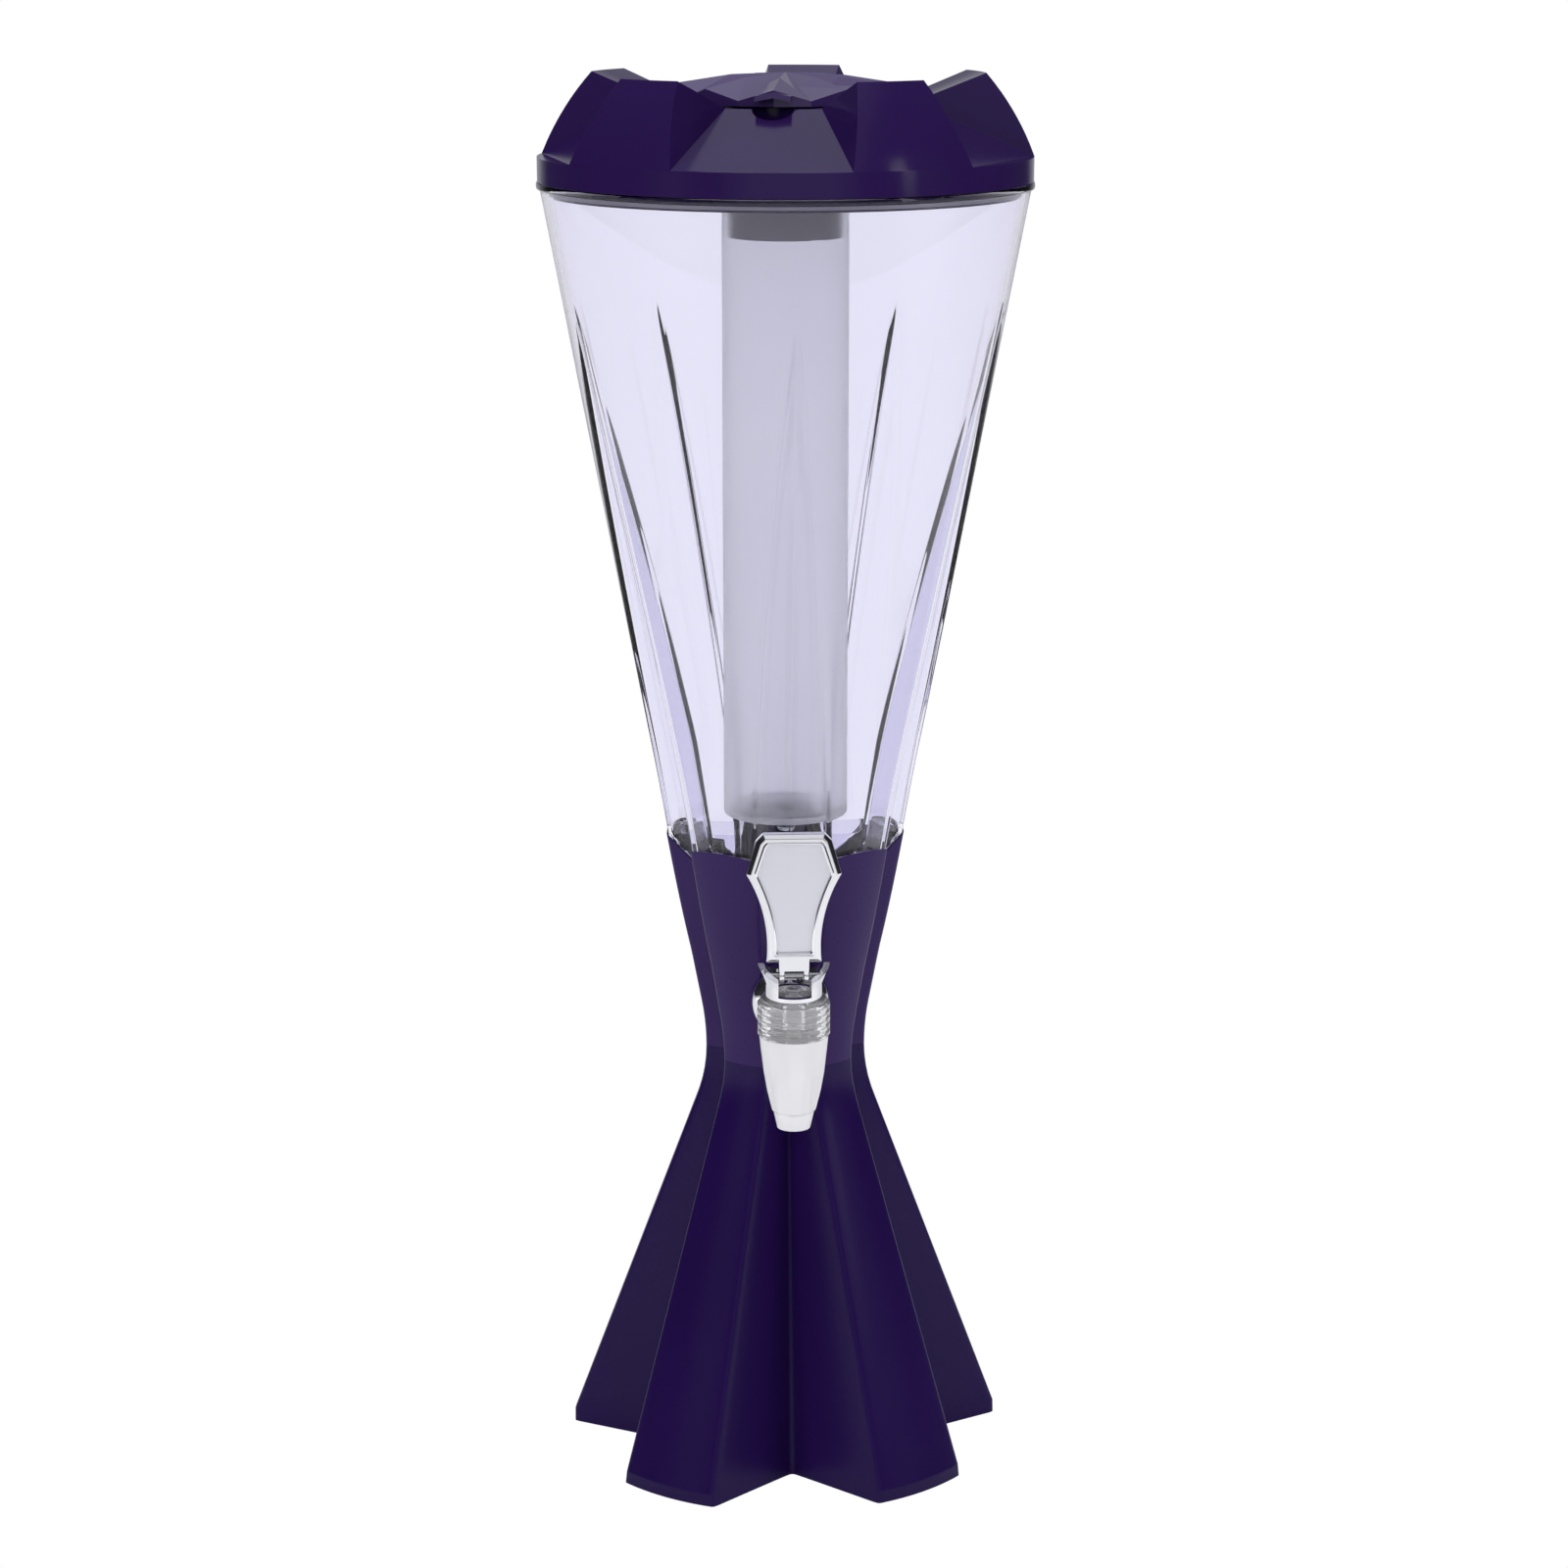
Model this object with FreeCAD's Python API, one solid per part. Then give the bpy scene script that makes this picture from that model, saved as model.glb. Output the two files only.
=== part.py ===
import FreeCAD, Part
import math
import os

# Beer tower dispenser. Millimetres, +Z up. The origin is the centre of the foot's
# resting plane, the tap faces -Y, and the five lobes repeat about the Z axis.

Vec = FreeCAD.Vector
UP = Vec(0, 0, 1)
ORIGIN = Vec(0, 0, 0)

# Lobes and the grooves between them
LOBES = 5
LOBE_STEP = 360 / LOBES
GROOVE_FLARE = 47.0
REACH = 130.0
MARGIN = 2.0

# Pedestal
FOOT_RADIUS = 87.6
FOOT_BAND = 5.0
FOOT_GROOVE_DEPTH = 36.6
FOOT_GROOVE = FOOT_RADIUS - FOOT_GROOVE_DEPTH
WAIST_RADIUS = 32.1
WAIST_GROOVE_DEPTH = 11.2
WAIST_GROOVE = WAIST_RADIUS - WAIST_GROOVE_DEPTH
WAIST_HEIGHT = 164.7
PEDESTAL_BEND = 60.0
PEDESTAL_WALL = 2.5
PEDESTAL_TOP = 4.0
SPIGOT_RADIUS = 13.0
SPIGOT_HEIGHT = 3.4

# Collar
COLLAR_HEIGHT = 90.5
COLLAR_TOP = WAIST_HEIGHT + COLLAR_HEIGHT
COLLAR_RADIUS = 47.5
COLLAR_GROOVE_DEPTH = 14.8
COLLAR_GROOVE = COLLAR_RADIUS - COLLAR_GROOVE_DEPTH
COLLAR_BEND = 100.0
COLLAR_WALL = 2.2
COLLAR_FLOOR = 4.0
COLLAR_EDGE_SLOPE = 0.8
COLLAR_GAP = 0.3

# Jar
JAR_RIM_RADIUS = 94.6
JAR_CONE_HEIGHT = 255.8
JAR_RIM_HEIGHT = COLLAR_TOP + JAR_CONE_HEIGHT
JAR_WALL = 2.6
JAR_FLOOR = 3.0
JAR_PROUD_STEP = 0.8
JAR_GROOVE_RISE = 208.8
JAR_GROOVE_TIP = COLLAR_TOP + JAR_GROOVE_RISE
JAR_GROOVE_BOW = 2.6
JAR_BEAD_PROUD = 1.0
JAR_BEAD_RADIUS = JAR_RIM_RADIUS + JAR_BEAD_PROUD
JAR_BEAD_HEIGHT = 2.4

# Screws that hold the pedestal to the collar
SCREW_RADIUS = 2.0
SCREW_LENGTH = 7.0
SCREW_HEAD_RADIUS = 3.6
SCREW_HEAD_HEIGHT = 2.2
SCREW_OFFSET = 9.0
SCREW_CIRCLE = SPIGOT_RADIUS + SCREW_OFFSET
SCREW_CLEARANCE = 0.2
SCREW_SOCKET_RADIUS = 1.3
SCREW_SOCKET_DEPTH = 1.4

# Lid crown
LID_STEP_IN = 0.6
LID_RADIUS = JAR_BEAD_RADIUS - LID_STEP_IN
LID_GAP = 0.3
LID_BOTTOM = JAR_RIM_HEIGHT + LID_GAP
LID_BAND = 9.3
LID_CREASE = LID_BOTTOM + LID_BAND
LID_TURN = -8.5
LID_WALL = 2.4
BLOCK_RISE = 30.9
BLOCK_TOP = LID_CREASE + BLOCK_RISE
BLOCK_LEAN = 18.4
BLOCK_TOP_RADIUS = LID_RADIUS - BLOCK_LEAN
BLOCK_TOP_ANGLE = 10.75
BLOCK_FOOT_ANGLE = 15.6
BLOCK_INNER_RADIUS = 49.4
BLOCK_INNER_ANGLE = 14.6
BLOCK_BULGE = 1.6
SLOT_REACH = 1.6
DECK_DROP = 11.1
DECK_HEIGHT = BLOCK_TOP - DECK_DROP
DECK_HOLE = 21.6
SCOOP_RADIUS = 7.9
SCOOP_DEPTH = 6.9
SCOOP_FLOOR = DECK_HEIGHT - SCOOP_DEPTH
SCOOP_WALL = 2.4

# Star flap and its hinge
FLAP_RIDGES = 10
FLAP_GAP = 4.4
FLAP_RADIUS = BLOCK_INNER_RADIUS - FLAP_GAP
FLAP_VALLEY_STEP = 1.0
FLAP_VALLEY_RADIUS = FLAP_RADIUS - FLAP_VALLEY_STEP
FLAP_RISE = 11.5
FLAP_TOP = DECK_HEIGHT + FLAP_RISE
FLAP_RIDGE_FALL = 4.7
FLAP_RIDGE_EDGE = FLAP_TOP - FLAP_RIDGE_FALL
FLAP_VALLEY_FALL = 8.8
FLAP_VALLEY_EDGE = FLAP_TOP - FLAP_VALLEY_FALL
FLAP_CROWN = 1.2
FLAP_THICKNESS = 2.0
TAB_LENGTH = 5.0
TAB_REACH = FLAP_RADIUS + TAB_LENGTH
TAB_WIDTH = 13.4
TAB_DROP = 1.3
SKIRT_GAP = 0.9
SKIRT_WALL = 1.6
SKIRT_DEPTH = 2.2
HINGE_OFFSET = 2.6
HINGE_REACH = FLAP_RADIUS + HINGE_OFFSET
HINGE_RISE = 3.3
HINGE_HEIGHT = DECK_HEIGHT + HINGE_RISE
HINGE_PIN_RADIUS = 1.3
HINGE_CLEARANCE = 0.05
HINGE_BARREL_WALL = 1.1
HINGE_BARREL = HINGE_PIN_RADIUS + HINGE_BARREL_WALL
HINGE_BARREL_WIDTH = 12.0
HINGE_EAR_WIDTH = 3.0
HINGE_SIDE_GAP = 0.4

# Lid liner, its seal and the ice tube
LINER_PLATE = 2.2
LINER_SIDE_GAP = 0.1
PLUG_DEPTH = 4.8
PLUG_WALL = 2.4
SPIGOT_TUBE_GAP = 0.3
LINER_SPIGOT_DROP = 21.0
LINER_SPIGOT_END = JAR_RIM_HEIGHT - LINER_SPIGOT_DROP
SEAL_HEIGHT = 1.8
SEAL_DEPTH = 1.6
SEAL_GAP = 0.15
TUBE_RADIUS = 24.5
TUBE_WALL = 2.2
SPIGOT_WALL = 2.6
LINER_BORE = TUBE_RADIUS - TUBE_WALL - SPIGOT_TUBE_GAP - SPIGOT_WALL
TUBE_CLEARANCE = 7.3
TUBE_END = COLLAR_TOP + TUBE_CLEARANCE
TUBE_CORNER = 3.0
TUBE_NUB_RADIUS = 4.0
TUBE_NUB_HEIGHT = 7.5
TUBE_SEAL = 1.6
LUG_COUNT = 3
LUG_ANGLE = 14.0
LUG_REACH = 1.2
LUG_HEIGHT = 3.0
LUG_RISE = 7.0
LUG_CENTRE = LINER_SPIGOT_END + LUG_RISE
LUG_GAP = 0.4
LUG_PLAY = 1.0
LUG_TWIST = 60.0

# Tap
TAP_RISE = 29.6
TAP_HEIGHT = WAIST_HEIGHT + TAP_RISE
TAP_PAD_DEPTH = 14.3
TAP_SEAT = WAIST_GROOVE + TAP_PAD_DEPTH
TAP_STANDOFF = 26.8
TAP_REACH = TAP_SEAT + TAP_STANDOFF
SHANK_RADIUS = 7.0
SHANK_BORE = 4.2
SHANK_CLEARANCE = 0.3
JAR_SEAT_DEPTH = 9.3
JAR_SEAT = WAIST_GROOVE - JAR_SEAT_DEPTH
WASHER_THICKNESS = 1.5
WASHER_RADIUS = 10.4
JAR_SEAT_MARGIN = 1.0
JAR_SEAT_RADIUS = WASHER_RADIUS + JAR_SEAT_MARGIN
NUT_THICKNESS = 5.4
NUT_RADIUS = 10.6
NUT_SIDES = 6
SHANK_OVERRUN = 1.4
ESCUTCHEON_RADIUS = 15.2
TAP_PAD_MARGIN = 0.4
TAP_PAD_RADIUS = ESCUTCHEON_RADIUS + TAP_PAD_MARGIN
ESCUTCHEON_DEPTH = 5.0
ESCUTCHEON_FLAT = 8.6
ESCUTCHEON_SHOULDER = 12.7
ESCUTCHEON_SHOULDER_DEPTH = 3.1
NECK_PROUD = 0.7
NECK_RADIUS = SHANK_RADIUS + NECK_PROUD
CUP_RADIUS = 14.1
CUP_RISE = 7.9
CUP_TOP = TAP_HEIGHT + CUP_RISE
CUP_DROP = 5.7
CUP_BOTTOM = TAP_HEIGHT - CUP_DROP
CUP_WALL = 3.5
CUP_BORE = CUP_RADIUS - CUP_WALL
CHAMBER_DEPTH = 26.0
CHAMBER_FLOOR = CUP_TOP - CHAMBER_DEPTH
SEAT_BORE = 4.6
NOZZLE_STEP_IN = 0.6
NOZZLE_TOP_RADIUS = CUP_RADIUS - NOZZLE_STEP_IN
NOZZLE_MID_RADIUS = 12.0
SEAT_THICKNESS = 2.2
NOZZLE_MID = CHAMBER_FLOOR - SEAT_THICKNESS
NOZZLE_STEP_RADIUS = 8.7
NOZZLE_LENGTH = 15.6
NOZZLE_STEP = NOZZLE_MID - NOZZLE_LENGTH
NOZZLE_STEP_DEPTH = 0.6
NOZZLE_END_RADIUS = 6.5
SPOUT_LENGTH = 7.4
NOZZLE_END = NOZZLE_STEP - SPOUT_LENGTH
NOZZLE_BORE_STEP = 0.3
NOZZLE_BORE = SEAT_BORE + NOZZLE_BORE_STEP
BONNET_EDGE = 1.5
BONNET_FLANGE_RADIUS = CUP_RADIUS - BONNET_EDGE
BONNET_FLANGE = 1.6
BONNET_THREAD_DEPTH = 9.0
BONNET_GAP = 0.15
BONNET_WELL = 7.4
CROWN_EDGE = 1.6
CROWN_BASE_RADIUS = BONNET_FLANGE_RADIUS - CROWN_EDGE
CROWN_SPREAD = 3.0
CROWN_TIP_RADIUS = CROWN_BASE_RADIUS + CROWN_SPREAD
CROWN_UPRIGHT = 7.3
CROWN_BEND = CUP_TOP + CROWN_UPRIGHT
CROWN_FLARE = 7.9
CROWN_TOP = CROWN_BEND + CROWN_FLARE
CROWN_WALL = 2.4
CROWN_BASE = 2.0
CROWN_WINDOW = 12.8
CROWN_SLOPE = 30.0
PIVOT_RISE = 2.9
PIVOT_HEIGHT = CROWN_BEND + PIVOT_RISE
PIVOT_RADIUS = 1.3
PIVOT_CLEARANCE = 0.05
PIVOT_OVERRUN = 0.8
PIVOT_HALF_LENGTH = CROWN_BASE_RADIUS + PIVOT_OVERRUN
HANDLE_BLOCK_RISE = 2.2
HANDLE_BLOCK = PIVOT_HEIGHT + HANDLE_BLOCK_RISE
HANDLE_NECK_RISE = 5.6
HANDLE_NECK = PIVOT_HEIGHT + HANDLE_NECK_RISE
HANDLE_NECK_HALF = 10.7
HANDLE_CURVE_RISE = 22.0
HANDLE_CURVE = HANDLE_NECK + HANDLE_CURVE_RISE
HANDLE_CURVE_HALF = 12.6
HANDLE_WIDEST_RISE = 13.1
HANDLE_WIDEST = HANDLE_CURVE + HANDLE_WIDEST_RISE
HANDLE_WIDEST_HALF = 18.3
HANDLE_SHOULDER_RISE = 13.1
HANDLE_CORNER = HANDLE_WIDEST + HANDLE_SHOULDER_RISE
HANDLE_CORNER_HALF = 14.5
HANDLE_TOP_RISE = 2.8
HANDLE_TOP = HANDLE_CORNER + HANDLE_TOP_RISE
HANDLE_TOP_HALF = 11.8
HANDLE_THICKNESS = 6.4
HANDLE_BEVEL = 1.5
PANEL_INSET = 3.6
PANEL_DEPTH = 1.0
CHEEK_GAP = 0.5
CHEEK_OUTER = CROWN_WINDOW / 2 - CHEEK_GAP
CHEEK_WIDTH = 2.2
CHEEK_INNER = CHEEK_OUTER - CHEEK_WIDTH
CHEEK_RADIUS = 3.4
STEM_RADIUS = 2.9
STEM_CLEARANCE = 0.2
BONNET_BORE = STEM_RADIUS + STEM_CLEARANCE
STEM_PROUD = 5.2
STEM_TOP = CUP_TOP + STEM_PROUD
STEM_HEAD_HEIGHT = 2.2
STEM_NECK_RADIUS = 1.9
PLUG_HEIGHT = 6.2
PLUG_TOP = CHAMBER_FLOOR + PLUG_HEIGHT
PLUG_LAP = 1.0
PLUG_RADIUS = SEAT_BORE + PLUG_LAP
PLUG_NOSE = 3.4
PLUG_LIFT_GAP = 0.1
BOOT_GAP = 1.2
BOOT_RADIUS = CUP_BORE - BOOT_GAP
BOOT_HEIGHT = 4.6
BOOT_WALL = 1.2


def polar(radius, degrees, height):
    """Point at an angle measured from +X towards +Y."""
    angle = math.radians(degrees)
    return Vec(radius * math.cos(angle), radius * math.sin(angle), height)


def section(radius, height):
    """Point in the XZ plane at a radius from the Z axis."""
    return Vec(radius, 0, height)


def turned(shape, degrees):
    """Copy of a shape turned about the Z axis."""
    copy = shape.copy()
    copy.rotate(ORIGIN, UP, degrees)
    return copy


def moved(shape, x, y, z):
    """Copy of a shape shifted by x, y and z."""
    copy = shape.copy()
    copy.translate(Vec(x, y, z))
    return copy


def straight(start, end):
    """Edge between two points."""
    return Part.LineSegment(start, end).toShape()


def line_wire(points):
    """Closed wire of straight lines through the points."""
    return Part.makePolygon(points + [points[0]])


def lathe(points):
    """Solid of revolution about Z from a closed outline in the XZ plane."""
    return Part.Face(line_wire(points)).revolve(ORIGIN, UP, 360)


def rod(radius, start, end, axis=UP):
    """Cylinder from start to end, distances along an axis through the origin."""
    return Part.makeCylinder(radius, end - start, axis * start, axis)


def ring(outer, inner, low, high):
    """Flat ring about Z."""
    return rod(outer, low, high).cut(rod(inner, low - MARGIN, high + MARGIN))


def y_rod(radius, near, far, height=0.0):
    """Cylinder along -Y, from near to far in front of the Z axis."""
    return Part.makeCylinder(radius, far - near, Vec(0, -near, height), Vec(0, -1, 0))


def solid_from(faces):
    """Closed solid sewn from faces."""
    shell = Part.Shell(faces)
    shell.sewShape()
    solid = Part.Solid(shell)
    if solid.Volume < 0:
        solid.reverse()
    return solid


def frustum(lower, upper):
    """Solid between two four-cornered rings whose sides are flat."""
    count = len(lower)
    faces = [Part.Face(line_wire(lower)), Part.Face(line_wire(upper))]
    for i in range(count):
        j = (i + 1) % count
        faces.append(Part.Face(line_wire([lower[i], lower[j], upper[j], upper[i]])))
    return solid_from(faces)


def save(name, shape):
    """Write one sub-part under its node name."""
    os.makedirs("parts", exist_ok=True)
    shape.exportStep("parts/" + name + ".step")
    print(name, "solids", len(shape.Solids), "valid", shape.isValid(), "cm3", round(shape.Volume / 1000, 2))


def flare_edges(end, end_height, waist, bend):
    """Edges from a flare's free end to the upright waist, a line then an arc."""
    centre_r = waist + bend
    reach_r = centre_r - end
    reach_z = WAIST_HEIGHT - end_height
    distance = math.hypot(reach_r, reach_z)
    side = 1 if reach_z > 0 else -1
    heading = math.atan2(reach_z, reach_r) + side * math.asin(bend / distance)
    length = math.sqrt(distance ** 2 - bend ** 2)
    tangent = section(end + length * math.cos(heading), end_height + length * math.sin(heading))
    start = math.atan2(tangent.z - WAIST_HEIGHT, tangent.x - centre_r)
    middle_angle = (start % (2 * math.pi) + math.pi) / 2
    middle = section(centre_r + bend * math.cos(middle_angle), WAIST_HEIGHT + bend * math.sin(middle_angle))
    line = Part.LineSegment(section(end, end_height), tangent).toShape()
    arc = Part.Arc(tangent, middle, section(waist, WAIST_HEIGHT)).toShape()
    return [line, arc]


def outline_face(edges, start, end, far):
    """Face between a path of edges and the line r = far, closed at both ends."""
    lead = [straight(section(far, start.z), start)] if start.x != far else []
    tail = [straight(end, section(far, end.z))] if end.x != far else []
    back = [straight(section(far, end.z), section(far, start.z))]
    return Part.Face(Part.Wire(Part.__sortEdges__(lead + edges + tail + back)))


def groove_cutters(edges, start, end):
    """One wedge per groove, whose sharp edge follows the path."""
    face = outline_face(edges, start, end, REACH)
    flare = math.radians(GROOVE_FLARE)
    wedges = []
    for side in (1, -1):
        sweep = Vec(math.cos(flare), side * math.sin(flare), 0) * REACH
        half = face.extrude(sweep)
        for k in range(LOBES):
            wedges.append(turned(half, k * LOBE_STEP - 90))
    return wedges


def lobed(profile, profile_ends, groove, groove_ends):
    """Solid of revolution with the grooves cut between its lobes."""
    face = outline_face(profile, profile_ends[0], profile_ends[1], 0.0)
    body = face.revolve(ORIGIN, UP, 360)
    return body.cut(groove_cutters(groove, groove_ends[0], groove_ends[1]))


def groove_inset(wall):
    """How far a groove's sharp edge moves in for a wall of this thickness."""
    return wall / math.sin(math.radians(GROOVE_FLARE))


def pedestal_form(inset, low, band_inset=0.0):
    """The pedestal's outer form, moved in by inset and starting at low."""
    radius = FOOT_RADIUS - inset
    profile = flare_edges(radius, FOOT_BAND, WAIST_RADIUS - inset, PEDESTAL_BEND + inset)
    profile.insert(0, straight(section(radius, low), section(radius, FOOT_BAND)))
    shift = groove_inset(inset)
    groove = flare_edges(FOOT_GROOVE - shift, 0.0, WAIST_GROOVE - shift, PEDESTAL_BEND + inset)
    slope = (groove[0].Vertexes[1].X - groove[0].Vertexes[0].X) / groove[0].Length
    foot = section(FOOT_GROOVE - shift - slope * MARGIN, low - MARGIN)
    groove.insert(0, straight(foot, section(FOOT_GROOVE - shift, 0.0)))
    top = section(WAIST_GROOVE - shift, WAIST_HEIGHT + MARGIN)
    groove.append(straight(section(WAIST_GROOVE - shift, WAIST_HEIGHT), top))
    ends = (section(radius, low), section(WAIST_RADIUS - inset, WAIST_HEIGHT))
    return lobed(profile, ends, groove, (foot, top))


def collar_form(inset):
    """The collar's outer form, moved in by inset, from the waist to its top."""
    profile = flare_edges(COLLAR_RADIUS - inset, COLLAR_TOP, WAIST_RADIUS - inset, COLLAR_BEND + inset)
    shift = groove_inset(inset)
    groove = flare_edges(COLLAR_GROOVE - shift, COLLAR_TOP, WAIST_GROOVE - shift, COLLAR_BEND + inset)
    low = section(WAIST_GROOVE - shift, WAIST_HEIGHT - MARGIN)
    groove.append(straight(low, section(WAIST_GROOVE - shift, WAIST_HEIGHT)))
    top = section(COLLAR_GROOVE - shift, COLLAR_TOP + MARGIN)
    groove.append(straight(section(COLLAR_GROOVE - shift, COLLAR_TOP), top))
    ends = (section(COLLAR_RADIUS - inset, COLLAR_TOP), section(WAIST_RADIUS - inset, WAIST_HEIGHT))
    return lobed(profile, ends, groove, (top, low))


def edge_low():
    """Height at which the planes of the collar's top edge meet on the axis."""
    return COLLAR_TOP - COLLAR_EDGE_SLOPE * COLLAR_RADIUS


def above_edge(gap):
    """Everything over the collar's top edge, one sloping plane per lobe, lifted by gap."""
    tip = section(0, edge_low() + gap)
    far = REACH / math.cos(math.radians(LOBE_STEP / 2))
    corners = [polar(far, k * LOBE_STEP - 90, tip.z + COLLAR_EDGE_SLOPE * REACH) for k in range(LOBES)]
    faces = [Part.Face(line_wire(corners))]
    for k in range(LOBES):
        faces.append(Part.Face(line_wire([tip, corners[k], corners[(k + 1) % LOBES]])))
    return solid_from(faces)


def upper_space():
    """Everything over the collar's highest points."""
    return rod(REACH, COLLAR_TOP + COLLAR_GAP + MARGIN, JAR_RIM_HEIGHT + MARGIN)


def cone_radius(height):
    """Radius of the jar's cone, before its grooves, at a height."""
    neck = COLLAR_RADIUS - JAR_PROUD_STEP
    share = (height - COLLAR_TOP) / (JAR_RIM_HEIGHT - COLLAR_TOP)
    return neck + (JAR_RIM_RADIUS - neck) * share


def cone_form(inset, low, high):
    """The jar's grooved cone, moved in by inset."""
    bottom = section(cone_radius(low) - inset, low)
    top = section(cone_radius(high) - inset, high)
    shift = groove_inset(JAR_PROUD_STEP + inset)
    start = section(COLLAR_GROOVE - shift, COLLAR_TOP)
    tip = section(cone_radius(JAR_GROOVE_TIP) - inset, JAR_GROOVE_TIP)
    chord = tip.sub(start)
    bow = Vec(chord.z, 0, -chord.x) * (JAR_GROOVE_BOW / chord.Length)
    middle = (start + tip) * 0.5 - bow
    arc = Part.Arc(start, middle, tip).toShape()
    slope = (middle.x - start.x) / (middle.z - start.z)
    drop = COLLAR_TOP - low + MARGIN
    foot = section(start.x - slope * drop, start.z - drop)
    outside = section(REACH, JAR_GROOVE_TIP + MARGIN)
    groove = [straight(foot, start), arc, straight(tip, outside)]
    return lobed([straight(bottom, top)], (bottom, top), groove, (foot, outside))


def screw_places():
    """Angles of the waist screws, one in each lobe."""
    return [k * LOBE_STEP - 90 + LOBE_STEP / 2 for k in range(LOBES)]


def make_pedestal():
    """Hollow foot, open underneath, with a top plate that the collar sits on."""
    cavity = pedestal_form(PEDESTAL_WALL, -MARGIN)
    cavity = cavity.cut(rod(REACH, WAIST_HEIGHT - PEDESTAL_TOP, WAIST_HEIGHT + MARGIN))
    body = pedestal_form(0.0, 0.0).cut(cavity)
    body = body.fuse(rod(SPIGOT_RADIUS, WAIST_HEIGHT - PEDESTAL_TOP, WAIST_HEIGHT + SPIGOT_HEIGHT))
    hole = rod(SCREW_RADIUS + SCREW_CLEARANCE, WAIST_HEIGHT - 2 * PEDESTAL_TOP, WAIST_HEIGHT + MARGIN)
    for angle in screw_places():
        place = polar(SCREW_CIRCLE, angle, 0)
        body = body.cut(moved(hole, place.x, place.y, 0))
    return body.removeSplitter()


def make_screws():
    """Pan-head screws, from under the pedestal's top plate into the collar's floor."""
    seat = WAIST_HEIGHT - PEDESTAL_TOP
    shank = rod(SCREW_RADIUS, seat, seat + SCREW_LENGTH)
    face = seat - SCREW_HEAD_HEIGHT
    head = rod(SCREW_HEAD_RADIUS, face, seat)
    socket = rod(SCREW_SOCKET_RADIUS, face - MARGIN, face + SCREW_SOCKET_DEPTH)
    screw = shank.fuse(head).cut(socket).removeSplitter()
    copies = []
    for angle in screw_places():
        place = polar(SCREW_CIRCLE, angle, 0)
        copies.append(moved(screw, place.x, place.y, 0))
    return Part.makeCompound(copies)


def make_collar():
    """Lobed sleeve round the jar's lower end, with a round pad for the tap."""
    inside = collar_form(COLLAR_WALL)
    inside = inside.cut(rod(REACH, 0, WAIST_HEIGHT + COLLAR_FLOOR))
    pad = y_rod(TAP_PAD_RADIUS, WAIST_GROOVE / 2, TAP_SEAT, TAP_HEIGHT)
    body = collar_form(0.0).fuse(pad).cut(inside)
    body = body.cut(above_edge(0.0))
    body = body.cut(y_rod(SHANK_RADIUS + SHANK_CLEARANCE, 0, REACH, TAP_HEIGHT))
    spigot = rod(SPIGOT_RADIUS + COLLAR_GAP, 0, WAIST_HEIGHT + SPIGOT_HEIGHT + COLLAR_GAP)
    body = body.cut(spigot)
    hole = rod(SCREW_RADIUS, WAIST_HEIGHT - MARGIN, WAIST_HEIGHT - PEDESTAL_TOP + SCREW_LENGTH)
    for angle in screw_places():
        place = polar(SCREW_CIRCLE, angle, 0)
        body = body.cut(moved(hole, place.x, place.y, 0))
    return body.removeSplitter()


def make_jar():
    """Clear jar: a grooved cone that steps inside the collar and is closed below."""
    sleeve = COLLAR_WALL + COLLAR_GAP
    bottom = WAIST_HEIGHT + COLLAR_FLOOR + COLLAR_GAP
    upper = cone_form(0.0, edge_low(), JAR_RIM_HEIGHT).common(above_edge(COLLAR_GAP).fuse(upper_space()))
    core = collar_form(sleeve).cut(rod(REACH, 0, bottom))
    hollow_low = collar_form(sleeve + JAR_WALL).cut(rod(REACH, 0, bottom + JAR_FLOOR))
    hollow_high = cone_form(JAR_WALL, COLLAR_TOP, JAR_RIM_HEIGHT + MARGIN)
    under_bead = JAR_RIM_HEIGHT - JAR_BEAD_HEIGHT
    bead = ring(JAR_BEAD_RADIUS, JAR_RIM_RADIUS - JAR_WALL / 2, under_bead, JAR_RIM_HEIGHT)
    outer = upper.fuse(core)
    seat = y_rod(JAR_SEAT_RADIUS, JAR_SEAT, REACH, TAP_HEIGHT).common(outer)
    body = outer.fuse(bead).cut(hollow_low.fuse(hollow_high)).fuse(seat)
    body = body.cut(y_rod(SHANK_RADIUS + SHANK_CLEARANCE, 0, REACH, TAP_HEIGHT))
    return body.removeSplitter()


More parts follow.
